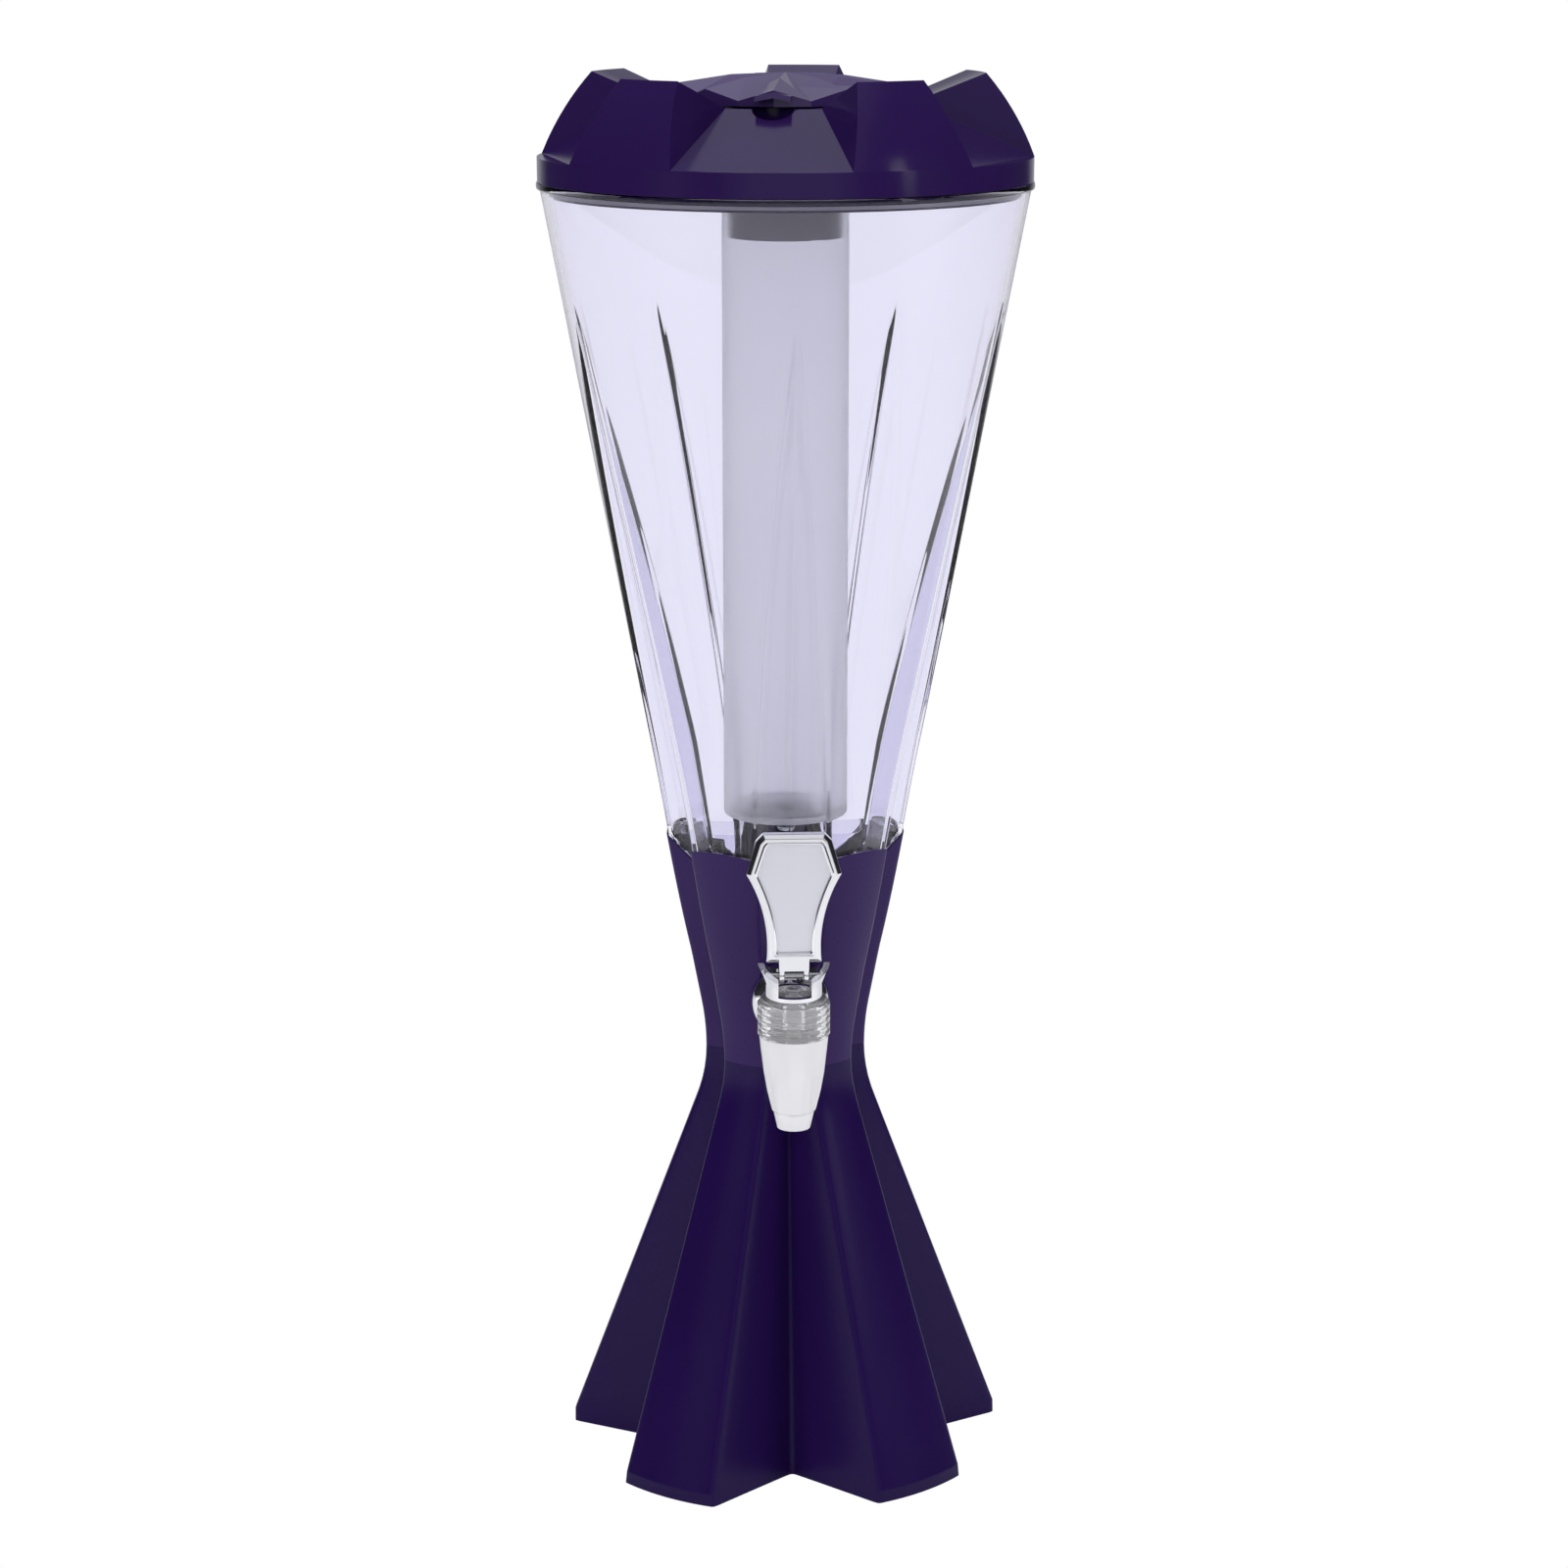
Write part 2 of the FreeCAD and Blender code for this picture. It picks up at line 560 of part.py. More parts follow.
def slot_cutters(grow):
    """Wedges that open the slots between the crown's blocks, grown by a wall."""
    foot_angle = LOBE_STEP / 2 - BLOCK_FOOT_ANGLE + math.degrees(grow / LID_RADIUS)
    top_angle = LOBE_STEP / 2 - BLOCK_TOP_ANGLE + math.degrees(grow / BLOCK_TOP_RADIUS)
    inner_angle = LOBE_STEP / 2 - BLOCK_INNER_ANGLE + math.degrees(grow / BLOCK_INNER_RADIUS)
    cutters = []
    for k in range(LOBES):
        lower = []
        upper = []
        ledge_low = []
        ledge_high = []
        for side in (1, -1):
            centre = k * LOBE_STEP - 90
            foot = polar(LID_RADIUS, centre + side * foot_angle, LID_CREASE - grow)
            top = polar(BLOCK_TOP_RADIUS, centre + side * top_angle, BLOCK_TOP - grow)
            inner = polar(BLOCK_INNER_RADIUS - grow, centre + side * inner_angle, DECK_HEIGHT - grow)
            lift = (top - foot) * SLOT_REACH
            out = (foot - inner) - (top - foot) * ((foot.z - inner.z) / (top.z - foot.z))
            lower += [inner, foot] if side > 0 else [foot, inner]
            upper += [inner + lift, foot + lift] if side > 0 else [foot + lift, inner + lift]
            wide = foot + out
            ledge_low += [foot, wide] if side > 0 else [wide, foot]
            ledge_high += [foot + lift, wide + lift] if side > 0 else [wide + lift, foot + lift]
        cutters.append(frustum(lower, upper))
        cutters.append(frustum(ledge_low, ledge_high))
    return cutters


def crown_form(inset, low):
    """The crown of five blocks and five sloping slots, moved in by inset."""
    rim = section(LID_RADIUS - inset, LID_CREASE)
    top = section(BLOCK_TOP_RADIUS - inset, BLOCK_TOP - inset)
    inner_flat = BLOCK_INNER_RADIUS * math.cos(math.radians(BLOCK_INNER_ANGLE))
    inner = section(inner_flat - inset, DECK_HEIGHT - inset)
    chord = top.sub(rim)
    bulge = Vec(chord.z, 0, -chord.x) * (BLOCK_BULGE / chord.Length)
    side = Part.Arc(rim, (rim + top) * 0.5 + bulge, top).toShape()
    foot = section(LID_RADIUS - inset, low)
    edges = [straight(foot, rim), side, straight(top, inner)]
    face = outline_face(edges, foot, inner, 0.0)
    body = face.revolve(ORIGIN, UP, 360)
    return body.cut(slot_cutters(inset))


def make_lid_crown():
    """Moulded crown with its deck, flap opening, finger scoop and hinge ears."""
    body = crown_form(0.0, LID_BOTTOM).cut(crown_form(LID_WALL, LID_BOTTOM - MARGIN))
    front = BLOCK_INNER_RADIUS * math.cos(math.radians(LOBE_STEP / 2 - BLOCK_INNER_ANGLE))
    cup = rod(SCOOP_RADIUS + SCOOP_WALL, SCOOP_FLOOR - SCOOP_WALL, DECK_HEIGHT)
    cup = moved(cup, 0, -front, 0).common(crown_form(0.0, LID_BOTTOM))
    body = body.fuse(cup)
    body = body.cut(moved(rod(SCOOP_RADIUS, SCOOP_FLOOR, BLOCK_TOP), 0, -front, 0))
    body = body.cut(rod(DECK_HOLE, SCOOP_FLOOR, BLOCK_TOP))
    ear_start = HINGE_BARREL_WIDTH / 2 + HINGE_SIDE_GAP
    ear_low = DECK_HEIGHT - LID_WALL / 2
    for side in (0, 1):
        x = ear_start if side else -ear_start - HINGE_EAR_WIDTH
        foot = Part.makeBox(HINGE_EAR_WIDTH, 2 * HINGE_BARREL, HINGE_HEIGHT - ear_low)
        foot.translate(Vec(x, HINGE_REACH - HINGE_BARREL, ear_low))
        eye_start = Vec(x, HINGE_REACH, HINGE_HEIGHT)
        eye = Part.makeCylinder(HINGE_BARREL, HINGE_EAR_WIDTH, eye_start, Vec(1, 0, 0))
        body = body.fuse(foot.fuse(eye))
    body = body.cut(hinge_rod(HINGE_PIN_RADIUS, ear_start + HINGE_EAR_WIDTH))
    return turned(body.removeSplitter(), LID_TURN)


def hinge_rod(radius, half_length):
    """Cylinder on the flap's hinge axis."""
    start = Vec(-half_length, HINGE_REACH, HINGE_HEIGHT)
    return Part.makeCylinder(radius, 2 * half_length, start, Vec(1, 0, 0))


def flap_point(index, share, drop):
    """Point of the pleated flap; even indices are ridges, and the underside has none."""
    angle = -90 + index * 180 / FLAP_RIDGES
    ridge = index % 2 == 0
    radius = share * (FLAP_RADIUS if ridge else FLAP_VALLEY_RADIUS)
    raised = ridge and drop == 0
    edge = FLAP_RIDGE_EDGE if raised else FLAP_VALLEY_EDGE
    crown = FLAP_CROWN * 4 * share * (1 - share) if raised else 0.0
    return polar(radius, angle, FLAP_TOP + (edge - FLAP_TOP) * share + crown - drop)


def make_flap():
    """Domed flap pleated into ridges and valleys, with a finger tab and a hinge barrel."""
    count = 2 * FLAP_RIDGES
    faces = []
    for drop in (0.0, FLAP_THICKNESS):
        tip = section(0, FLAP_TOP - drop)
        for i in range(count):
            mids = [flap_point(i, 0.5, drop), flap_point(i + 1, 0.5, drop)]
            ends = [flap_point(i, 1.0, drop), flap_point(i + 1, 1.0, drop)]
            faces.append(Part.Face(line_wire([tip, mids[0], mids[1]])))
            faces.append(Part.Face(line_wire([mids[0], ends[0], ends[1]])))
            faces.append(Part.Face(line_wire([mids[0], ends[1], mids[1]])))
    for i in range(count):
        tops = [flap_point(i, 1.0, 0.0), flap_point(i + 1, 1.0, 0.0)]
        lows = [flap_point(i + 1, 1.0, FLAP_THICKNESS), flap_point(i, 1.0, FLAP_THICKNESS)]
        faces.append(Part.Face(line_wire(tops + lows)))
    body = solid_from(faces)
    half = TAB_WIDTH / 2
    start = -FLAP_RADIUS * math.cos(math.radians(LOBE_STEP / 4))
    peak = FLAP_RIDGE_EDGE - TAB_DROP / 2
    foot = peak - TAB_DROP
    outline = [Vec(0, start, peak), Vec(half, start, foot), Vec(half, start, foot - FLAP_THICKNESS)]
    outline += [Vec(0, start, peak - FLAP_THICKNESS), Vec(-half, start, foot - FLAP_THICKNESS)]
    outline += [Vec(-half, start, foot)]
    body = body.fuse(Part.Face(line_wire(outline)).extrude(Vec(0, -TAB_REACH - start, 0)))
    skirt_outer = DECK_HOLE - SKIRT_GAP
    under = FLAP_TOP + (FLAP_VALLEY_EDGE - FLAP_TOP) * skirt_outer / FLAP_VALLEY_RADIUS
    low = DECK_HEIGHT - SKIRT_DEPTH
    body = body.fuse(ring(skirt_outer, skirt_outer - SKIRT_WALL, low, under - FLAP_THICKNESS / 2))
    width = HINGE_BARREL_WIDTH
    arm_start = FLAP_VALLEY_RADIUS - 2 * HINGE_BARREL
    arm = Part.makeBox(width, HINGE_REACH - arm_start, HINGE_BARREL)
    arm.translate(Vec(-width / 2, arm_start, HINGE_HEIGHT))
    body = body.fuse(arm).fuse(hinge_rod(HINGE_BARREL, width / 2))
    body = body.cut(hinge_rod(HINGE_PIN_RADIUS + HINGE_CLEARANCE, width))
    return turned(body, LID_TURN)


def make_hinge_pin():
    """Pin through the crown's ears and the flap's barrel."""
    half = HINGE_BARREL_WIDTH / 2 + HINGE_SIDE_GAP + HINGE_EAR_WIDTH
    return turned(hinge_rod(HINGE_PIN_RADIUS, half), LID_TURN)


def plug_radius():
    """Outer radius of the liner's plug, clear of the jar's wall."""
    return cone_radius(JAR_RIM_HEIGHT - PLUG_DEPTH) - JAR_WALL - SEAL_GAP - SEAL_DEPTH / 2


def tube_bore():
    """Inner radius of the ice tube."""
    return TUBE_RADIUS - TUBE_WALL


def plate_bottom():
    """Height of the underside of the liner's plate."""
    return LID_BOTTOM - LINER_PLATE


def lug_blocks(angle, spread, inner, outer, low, high):
    """Ring segments, one per lug, each centred on its angle."""
    band = ring(outer, inner, low, high)
    pieces = []
    for k in range(LUG_COUNT):
        centre = angle + k * 360 / LUG_COUNT
        corner = [ORIGIN, polar(REACH, centre - spread / 2, 0), polar(REACH, centre + spread / 2, 0)]
        wedge = Part.Face(line_wire(corner)).extrude(Vec(0, 0, BLOCK_TOP))
        pieces.append(band.common(wedge))
    return pieces


def make_liner():
    """Plate and plug that close the jar, with the spigot that carries the ice tube."""
    radius = LID_RADIUS - LID_WALL - LINER_SIDE_GAP
    low = plate_bottom()
    body = ring(plug_radius(), LINER_BORE, low, LID_BOTTOM)
    body = body.fuse(ring(radius, LINER_BORE, LID_BOTTOM, LID_BOTTOM + LINER_PLATE / 2))
    plug = ring(plug_radius(), plug_radius() - PLUG_WALL, JAR_RIM_HEIGHT - PLUG_DEPTH, LID_BOTTOM)
    spigot_radius = tube_bore() - SPIGOT_TUBE_GAP
    spigot = ring(spigot_radius, LINER_BORE, LINER_SPIGOT_END, DECK_HEIGHT - LID_WALL)
    body = body.fuse(plug).fuse(spigot)
    groove_floor = plug_radius() - SEAL_DEPTH / 2
    groove = ring(plug_radius() + MARGIN, groove_floor, seal_low(), seal_low() + SEAL_HEIGHT)
    body = body.cut(groove)
    lug_inner = tube_bore() - LUG_REACH - LUG_GAP
    track_low = LUG_CENTRE - LUG_HEIGHT / 2 - LUG_GAP
    track_high = LUG_CENTRE + LUG_HEIGHT / 2 + LUG_GAP
    entry_span = LUG_ANGLE + 2 * LUG_PLAY
    span = entry_span + LUG_TWIST
    track = lug_blocks(LUG_TWIST / 2, span, lug_inner, TUBE_RADIUS, track_low, track_high)
    low = LINER_SPIGOT_END - MARGIN
    entry = lug_blocks(LUG_TWIST, entry_span, lug_inner, TUBE_RADIUS, low, track_high)
    return body.cut(track + entry)


def seal_low():
    """Lower face of the plug's seal."""
    return JAR_RIM_HEIGHT - PLUG_DEPTH + SEAL_HEIGHT / 2


def make_lid_seal():
    """Soft ring round the plug."""
    inner = plug_radius() - SEAL_DEPTH / 2
    return ring(inner + SEAL_DEPTH, inner, seal_low(), seal_low() + SEAL_HEIGHT)


def make_ice_tube():
    """Closed tube that hangs in the jar, with lugs that lock in the liner's tracks."""
    top = plate_bottom() - TUBE_SEAL
    outer = rod(TUBE_RADIUS, TUBE_END, top)
    foot = [edge for edge in outer.Edges if edge.BoundBox.ZMax < TUBE_END + TUBE_CORNER]
    outer = outer.makeFillet(TUBE_CORNER, foot)
    body = outer.cut(rod(tube_bore(), TUBE_END + TUBE_WALL, top + MARGIN))
    nub = rod(TUBE_NUB_RADIUS, TUBE_END - TUBE_NUB_HEIGHT, TUBE_END + TUBE_WALL / 2)
    body = body.fuse(nub)
    low = LUG_CENTRE - LUG_HEIGHT / 2
    lug_inner = tube_bore() - LUG_REACH
    lug_outer = tube_bore() + TUBE_WALL / 2
    lugs = lug_blocks(0.0, LUG_ANGLE, lug_inner, lug_outer, low, low + LUG_HEIGHT)
    return body.fuse(lugs).removeSplitter()


def make_tube_seal():
    """Soft ring between the ice tube and the liner's plate."""
    return ring(TUBE_RADIUS, tube_bore() + SPIGOT_TUBE_GAP / 2, plate_bottom() - TUBE_SEAL, plate_bottom())


def at_tap(shape):
    """Shape modelled about Z, moved to the tap's upright axis."""
    return moved(shape, 0, -TAP_REACH, 0)


def escutcheon_back():
    """Distance in front of the axis of the escutcheon's back face."""
    return TAP_SEAT + WASHER_THICKNESS


def make_tap_body():
    """Clear tap: shank, cup and tapering nozzle in one piece."""
    cup = ring(CUP_RADIUS, CUP_BORE, CUP_BOTTOM, CUP_TOP)
    outline = [section(0, CUP_BOTTOM + MARGIN), section(NOZZLE_TOP_RADIUS, CUP_BOTTOM + MARGIN)]
    outline += [section(NOZZLE_TOP_RADIUS, CUP_BOTTOM), section(NOZZLE_MID_RADIUS, NOZZLE_MID)]
    outline += [section(NOZZLE_STEP_RADIUS, NOZZLE_STEP)]
    outline += [section(NOZZLE_STEP_RADIUS - NOZZLE_STEP_DEPTH, NOZZLE_STEP - NOZZLE_STEP_DEPTH)]
    outline += [section(NOZZLE_END_RADIUS, NOZZLE_END), section(0, NOZZLE_END)]
    body = at_tap(cup.fuse(lathe(outline)))
    front = escutcheon_back() + ESCUTCHEON_DEPTH
    end = JAR_SEAT - WASHER_THICKNESS - NUT_THICKNESS - SHANK_OVERRUN
    inside = TAP_REACH - CUP_BORE / 2
    body = body.fuse(y_rod(SHANK_RADIUS, end, inside, TAP_HEIGHT))
    body = body.fuse(y_rod(NECK_RADIUS, front, inside, TAP_HEIGHT))
    body = body.cut(at_tap(rod(CUP_BORE, CHAMBER_FLOOR, CUP_TOP + MARGIN)))
    body = body.cut(at_tap(rod(SEAT_BORE, NOZZLE_MID - MARGIN, CHAMBER_FLOOR + MARGIN)))
    body = body.cut(at_tap(rod(NOZZLE_BORE, NOZZLE_END - MARGIN, NOZZLE_MID)))
    body = body.cut(y_rod(SHANK_BORE, end - MARGIN, inside, TAP_HEIGHT))
    return body.removeSplitter()


def make_bonnet():
    """Clear plug in the top of the cup that guides the stem."""
    body = rod(BONNET_FLANGE_RADIUS, CUP_TOP, CUP_TOP + BONNET_FLANGE)
    body = body.fuse(rod(CUP_BORE - BONNET_GAP, CUP_TOP - BONNET_THREAD_DEPTH, CUP_TOP))
    body = body.cut(rod(BONNET_WELL, CUP_TOP - BONNET_THREAD_DEPTH - MARGIN, CUP_TOP - BONNET_FLANGE))
    return at_tap(body.cut(rod(BONNET_BORE, CHAMBER_FLOOR, CUP_TOP + 2 * MARGIN)))


def crown_section(radius_shift):
    """Outer radii of the tap's crown from its base to its tips."""
    base = CUP_TOP + BONNET_FLANGE
    return [
        section(CROWN_BASE_RADIUS - radius_shift, base),
        section(CROWN_BASE_RADIUS - radius_shift, CROWN_BEND),
        section(CROWN_TIP_RADIUS - radius_shift, CROWN_TOP),
    ]


def make_tap_crown():
    """Ring with two flared petals that carry the handle's pin."""
    base = CUP_TOP + BONNET_FLANGE
    outer = crown_section(0.0)
    inner = crown_section(CROWN_WALL)
    body = lathe([section(0, base)] + outer + [section(0, CROWN_TOP)])
    hollow = lathe([section(0, base - MARGIN)] + inner + [section(0, CROWN_TOP + MARGIN)])
    body = body.cut(hollow)
    window = Part.makeBox(CROWN_WINDOW, 2 * REACH, BLOCK_TOP)
    window.translate(Vec(-CROWN_WINDOW / 2, -REACH, base + CROWN_BASE))
    body = body.cut(window)
    rise = math.tan(math.radians(CROWN_SLOPE))
    for side in (1, -1):
        edge = side * REACH
        roof = [Vec(-REACH, 0, CROWN_TOP), Vec(-REACH, edge, CROWN_TOP - rise * REACH)]
        roof += [Vec(-REACH, edge, CROWN_TOP + MARGIN), Vec(-REACH, 0, CROWN_TOP + MARGIN)]
        body = body.cut(Part.Face(line_wire(roof)).extrude(Vec(2 * REACH, 0, 0)))
    body = body.cut(x_rod(PIVOT_RADIUS, REACH))
    return at_tap(body.removeSplitter())


def x_rod(radius, half_length):
    """Cylinder along X through the handle's pivot, before it goes to the tap."""
    start = Vec(-half_length, 0, PIVOT_HEIGHT)
    return Part.makeCylinder(radius, 2 * half_length, start, Vec(1, 0, 0))


def make_handle_pin():
    """Pin through the petals and the handle's cheeks."""
    return at_tap(x_rod(PIVOT_RADIUS, PIVOT_HALF_LENGTH))


def paddle_wire(inset, depth):
    """Front outline of the handle's paddle, moved in by inset, at a depth in Y."""
    right = [
        Vec(HANDLE_TOP_HALF - inset / 2, depth, HANDLE_TOP - inset),
        Vec(HANDLE_CORNER_HALF - inset, depth, HANDLE_CORNER - inset / 2),
        Vec(HANDLE_WIDEST_HALF - inset, depth, HANDLE_WIDEST),
        Vec(HANDLE_CURVE_HALF - inset, depth, HANDLE_CURVE),
        Vec(HANDLE_NECK_HALF - inset, depth, HANDLE_NECK + inset),
    ]
    left = [Vec(-p.x, p.y, p.z) for p in right]
    edges = [straight(left[0], right[0]), straight(right[0], right[1]), straight(right[1], right[2])]
    edges.append(Part.Arc(right[2], right[3], right[4]).toShape())
    edges.append(straight(right[4], left[4]))
    edges.append(Part.Arc(left[4], left[3], left[2]).toShape())
    edges += [straight(left[2], left[1]), straight(left[1], left[0])]
    return Part.Wire(edges)


def make_handle():
    """Paddle with bevelled edges and a sunk panel, on two cheeks round the pin."""
    half = HANDLE_THICKNESS / 2
    core = Part.Face(paddle_wire(0.0, half - HANDLE_BEVEL))
    body = core.extrude(Vec(0, 2 * HANDLE_BEVEL - HANDLE_THICKNESS, 0))
    for side in (1, -1):
        wires = [paddle_wire(0.0, side * (half - HANDLE_BEVEL)), paddle_wire(HANDLE_BEVEL, side * half)]
        body = body.fuse(Part.makeLoft(wires, True, True))
    panel = Part.Face(paddle_wire(PANEL_INSET, -half - MARGIN))
    body = body.cut(panel.extrude(Vec(0, MARGIN + PANEL_DEPTH, 0)))
    for side in (0, 1):
        x = CHEEK_INNER if side else -CHEEK_OUTER
        width = CHEEK_OUTER - CHEEK_INNER
        cheek = Part.makeBox(width, HANDLE_THICKNESS, HANDLE_NECK + MARGIN - PIVOT_HEIGHT)
        cheek.translate(Vec(x, -half, PIVOT_HEIGHT))
        eye = Part.makeCylinder(CHEEK_RADIUS, width, Vec(x, 0, PIVOT_HEIGHT), Vec(1, 0, 0))
        body = body.fuse(cheek.fuse(eye))
    block = Part.makeBox(2 * CHEEK_OUTER, HANDLE_THICKNESS, HANDLE_NECK + MARGIN - HANDLE_BLOCK)
    block.translate(Vec(-CHEEK_OUTER, -half, HANDLE_BLOCK))
    body = body.fuse(block).cut(x_rod(PIVOT_RADIUS + PIVOT_CLEARANCE, CHEEK_OUTER + MARGIN))
    return at_tap(body)


def make_stem():
    """Clear stem from the seat plug up to its head inside the crown."""
    body = rod(STEM_NECK_RADIUS, PLUG_TOP, STEM_TOP)
    body = body.fuse(rod(STEM_RADIUS, PLUG_TOP + BOOT_HEIGHT, CUP_TOP + BONNET_FLANGE / 2))
    body = body.fuse(rod(STEM_RADIUS, STEM_TOP - STEM_HEAD_HEIGHT, STEM_TOP))
    return at_tap(body)


def make_seat_plug():
    """Plug that closes the seat under the stem."""
    low = CHAMBER_FLOOR + PLUG_LIFT_GAP
    outline = [section(0, low), section(PLUG_RADIUS, low)]
    outline += [section(PLUG_RADIUS, low + PLUG_NOSE), section(PLUG_NOSE, PLUG_TOP), section(0, PLUG_TOP)]
    return at_tap(lathe(outline))


def make_boot():
    """Soft cone on the stem above the plug."""
    low = PLUG_TOP + 2 * PLUG_LIFT_GAP
    high = low + BOOT_HEIGHT - 4 * PLUG_LIFT_GAP
    inner = STEM_NECK_RADIUS + PLUG_LIFT_GAP
    outline = [section(inner, low), section(inner, low + BOOT_WALL), section(BOOT_RADIUS, high)]
    outline += [section(BOOT_RADIUS + BOOT_WALL / 2, high - BOOT_WALL), section(inner + BOOT_WALL, low)]
    return at_tap(lathe(outline))


def make_escutcheon():
    """Domed plate between the tap's shoulder and the collar."""
    back = escutcheon_back()
    high = ESCUTCHEON_DEPTH
    flat = ESCUTCHEON_FLAT
    shoulder = section(ESCUTCHEON_SHOULDER, ESCUTCHEON_SHOULDER_DEPTH)
    dome = Part.Arc(section(ESCUTCHEON_RADIUS, 0), shoulder, section(flat, high))
    edges = [straight(section(0, 0), section(ESCUTCHEON_RADIUS, 0)), dome.toShape()]
    edges += [straight(section(flat, high), section(0, high)), straight(section(0, high), section(0, 0))]
    body = Part.Face(Part.Wire(edges)).revolve(ORIGIN, UP, 360)
    body = body.cut(rod(SHANK_RADIUS + SHANK_CLEARANCE, -MARGIN, high + MARGIN))
    body.rotate(ORIGIN, Vec(1, 0, 0), 90)
    return moved(body, 0, -back, TAP_HEIGHT)


def shank_ring(outer, near, thickness, clearance):
    """Ring on the shank, starting at near in front of the Z axis."""
    body = y_rod(outer, near, near + thickness, TAP_HEIGHT)
    return body.cut(y_rod(SHANK_RADIUS + clearance, near - MARGIN, near + thickness + MARGIN, TAP_HEIGHT))


def make_nut():
    """Hexagonal nut inside the jar that clamps the tap."""
    near = JAR_SEAT - WASHER_THICKNESS - NUT_THICKNESS
    corners = []
    for k in range(NUT_SIDES):
        angle = math.radians(k * 360 / NUT_SIDES)
        corners.append(Vec(NUT_RADIUS * math.cos(angle), -near, TAP_HEIGHT + NUT_RADIUS * math.sin(angle)))
    body = Part.Face(line_wire(corners)).extrude(Vec(0, -NUT_THICKNESS, 0))
    return body.cut(y_rod(SHANK_RADIUS + PIVOT_CLEARANCE, 0, JAR_SEAT, TAP_HEIGHT))


save("pedestal", make_pedestal())
save("waist_screws", make_screws())
save("collar", make_collar())
save("jar", make_jar())
save("lid_crown", make_lid_crown())
save("lid_liner", make_liner())
save("lid_seal", make_lid_seal())
save("star_flap", make_flap())
save("flap_hinge_pin", make_hinge_pin())
save("ice_tube", make_ice_tube())
save("tube_seal", make_tube_seal())
save("tap_body", make_tap_body())
save("tap_bonnet", make_bonnet())
save("tap_crown", make_tap_crown())
save("tap_handle", make_handle())
save("handle_pin", make_handle_pin())
save("tap_stem", make_stem())
save("seat_plug", make_seat_plug())
save("stem_boot", make_boot())
save("tap_escutcheon", make_escutcheon())
save("outer_washer", shank_ring(WASHER_RADIUS, TAP_SEAT, WASHER_THICKNESS, SHANK_CLEARANCE))
inner_start = JAR_SEAT - WASHER_THICKNESS
save("inner_washer", shank_ring(WASHER_RADIUS, inner_start, WASHER_THICKNESS, SHANK_CLEARANCE))
save("shank_nut", make_nut())
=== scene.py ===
"""Beer tower dispenser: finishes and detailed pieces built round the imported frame."""

import logging
import math
from dataclasses import dataclass, field
from enum import Enum
from typing import Sequence

import bmesh
import bpy
from mathutils import Matrix, Vector


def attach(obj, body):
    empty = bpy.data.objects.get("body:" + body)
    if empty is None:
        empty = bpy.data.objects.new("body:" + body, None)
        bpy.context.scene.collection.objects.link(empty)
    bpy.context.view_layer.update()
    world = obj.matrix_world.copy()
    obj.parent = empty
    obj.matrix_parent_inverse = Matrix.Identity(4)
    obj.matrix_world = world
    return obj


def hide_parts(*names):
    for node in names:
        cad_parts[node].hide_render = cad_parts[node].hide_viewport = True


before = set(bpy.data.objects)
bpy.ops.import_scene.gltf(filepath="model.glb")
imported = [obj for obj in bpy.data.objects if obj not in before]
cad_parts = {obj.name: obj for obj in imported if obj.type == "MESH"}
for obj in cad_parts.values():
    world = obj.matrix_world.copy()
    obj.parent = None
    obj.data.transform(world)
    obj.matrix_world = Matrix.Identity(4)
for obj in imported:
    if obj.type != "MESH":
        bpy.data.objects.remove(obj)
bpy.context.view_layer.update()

log = logging.getLogger("tower")

MM = 0.001
LOBES = 5
SECTOR = 2 * math.pi / LOBES
GROOVE_FLARE = math.radians(47.0)
WAIST = 164.7
COLLAR_TOP = 255.2
COLLAR_RADIUS = 47.5
EDGE_SLOPE = 0.8
JAR_RIM = 511.0
JAR_RIM_RADIUS = 94.6
JAR_STEP = 0.8
JAR_GROOVE_TIP = 464.0
JAR_GROOVE_START = 31.6
JAR_GROOVE_BOW = 10.6
TAP_Y = -62.0
TAP_Z = 194.3
ESCUTCHEON_BACK = 36.7


class Body(Enum):
    """The bodies that pieces ride on."""

    TOWER = "tower"
    LID = "lid"
    TUBE = "tube"
    FLAP = "flap"
    HANDLE = "handle"
    STEM = "stem"


# Finishes


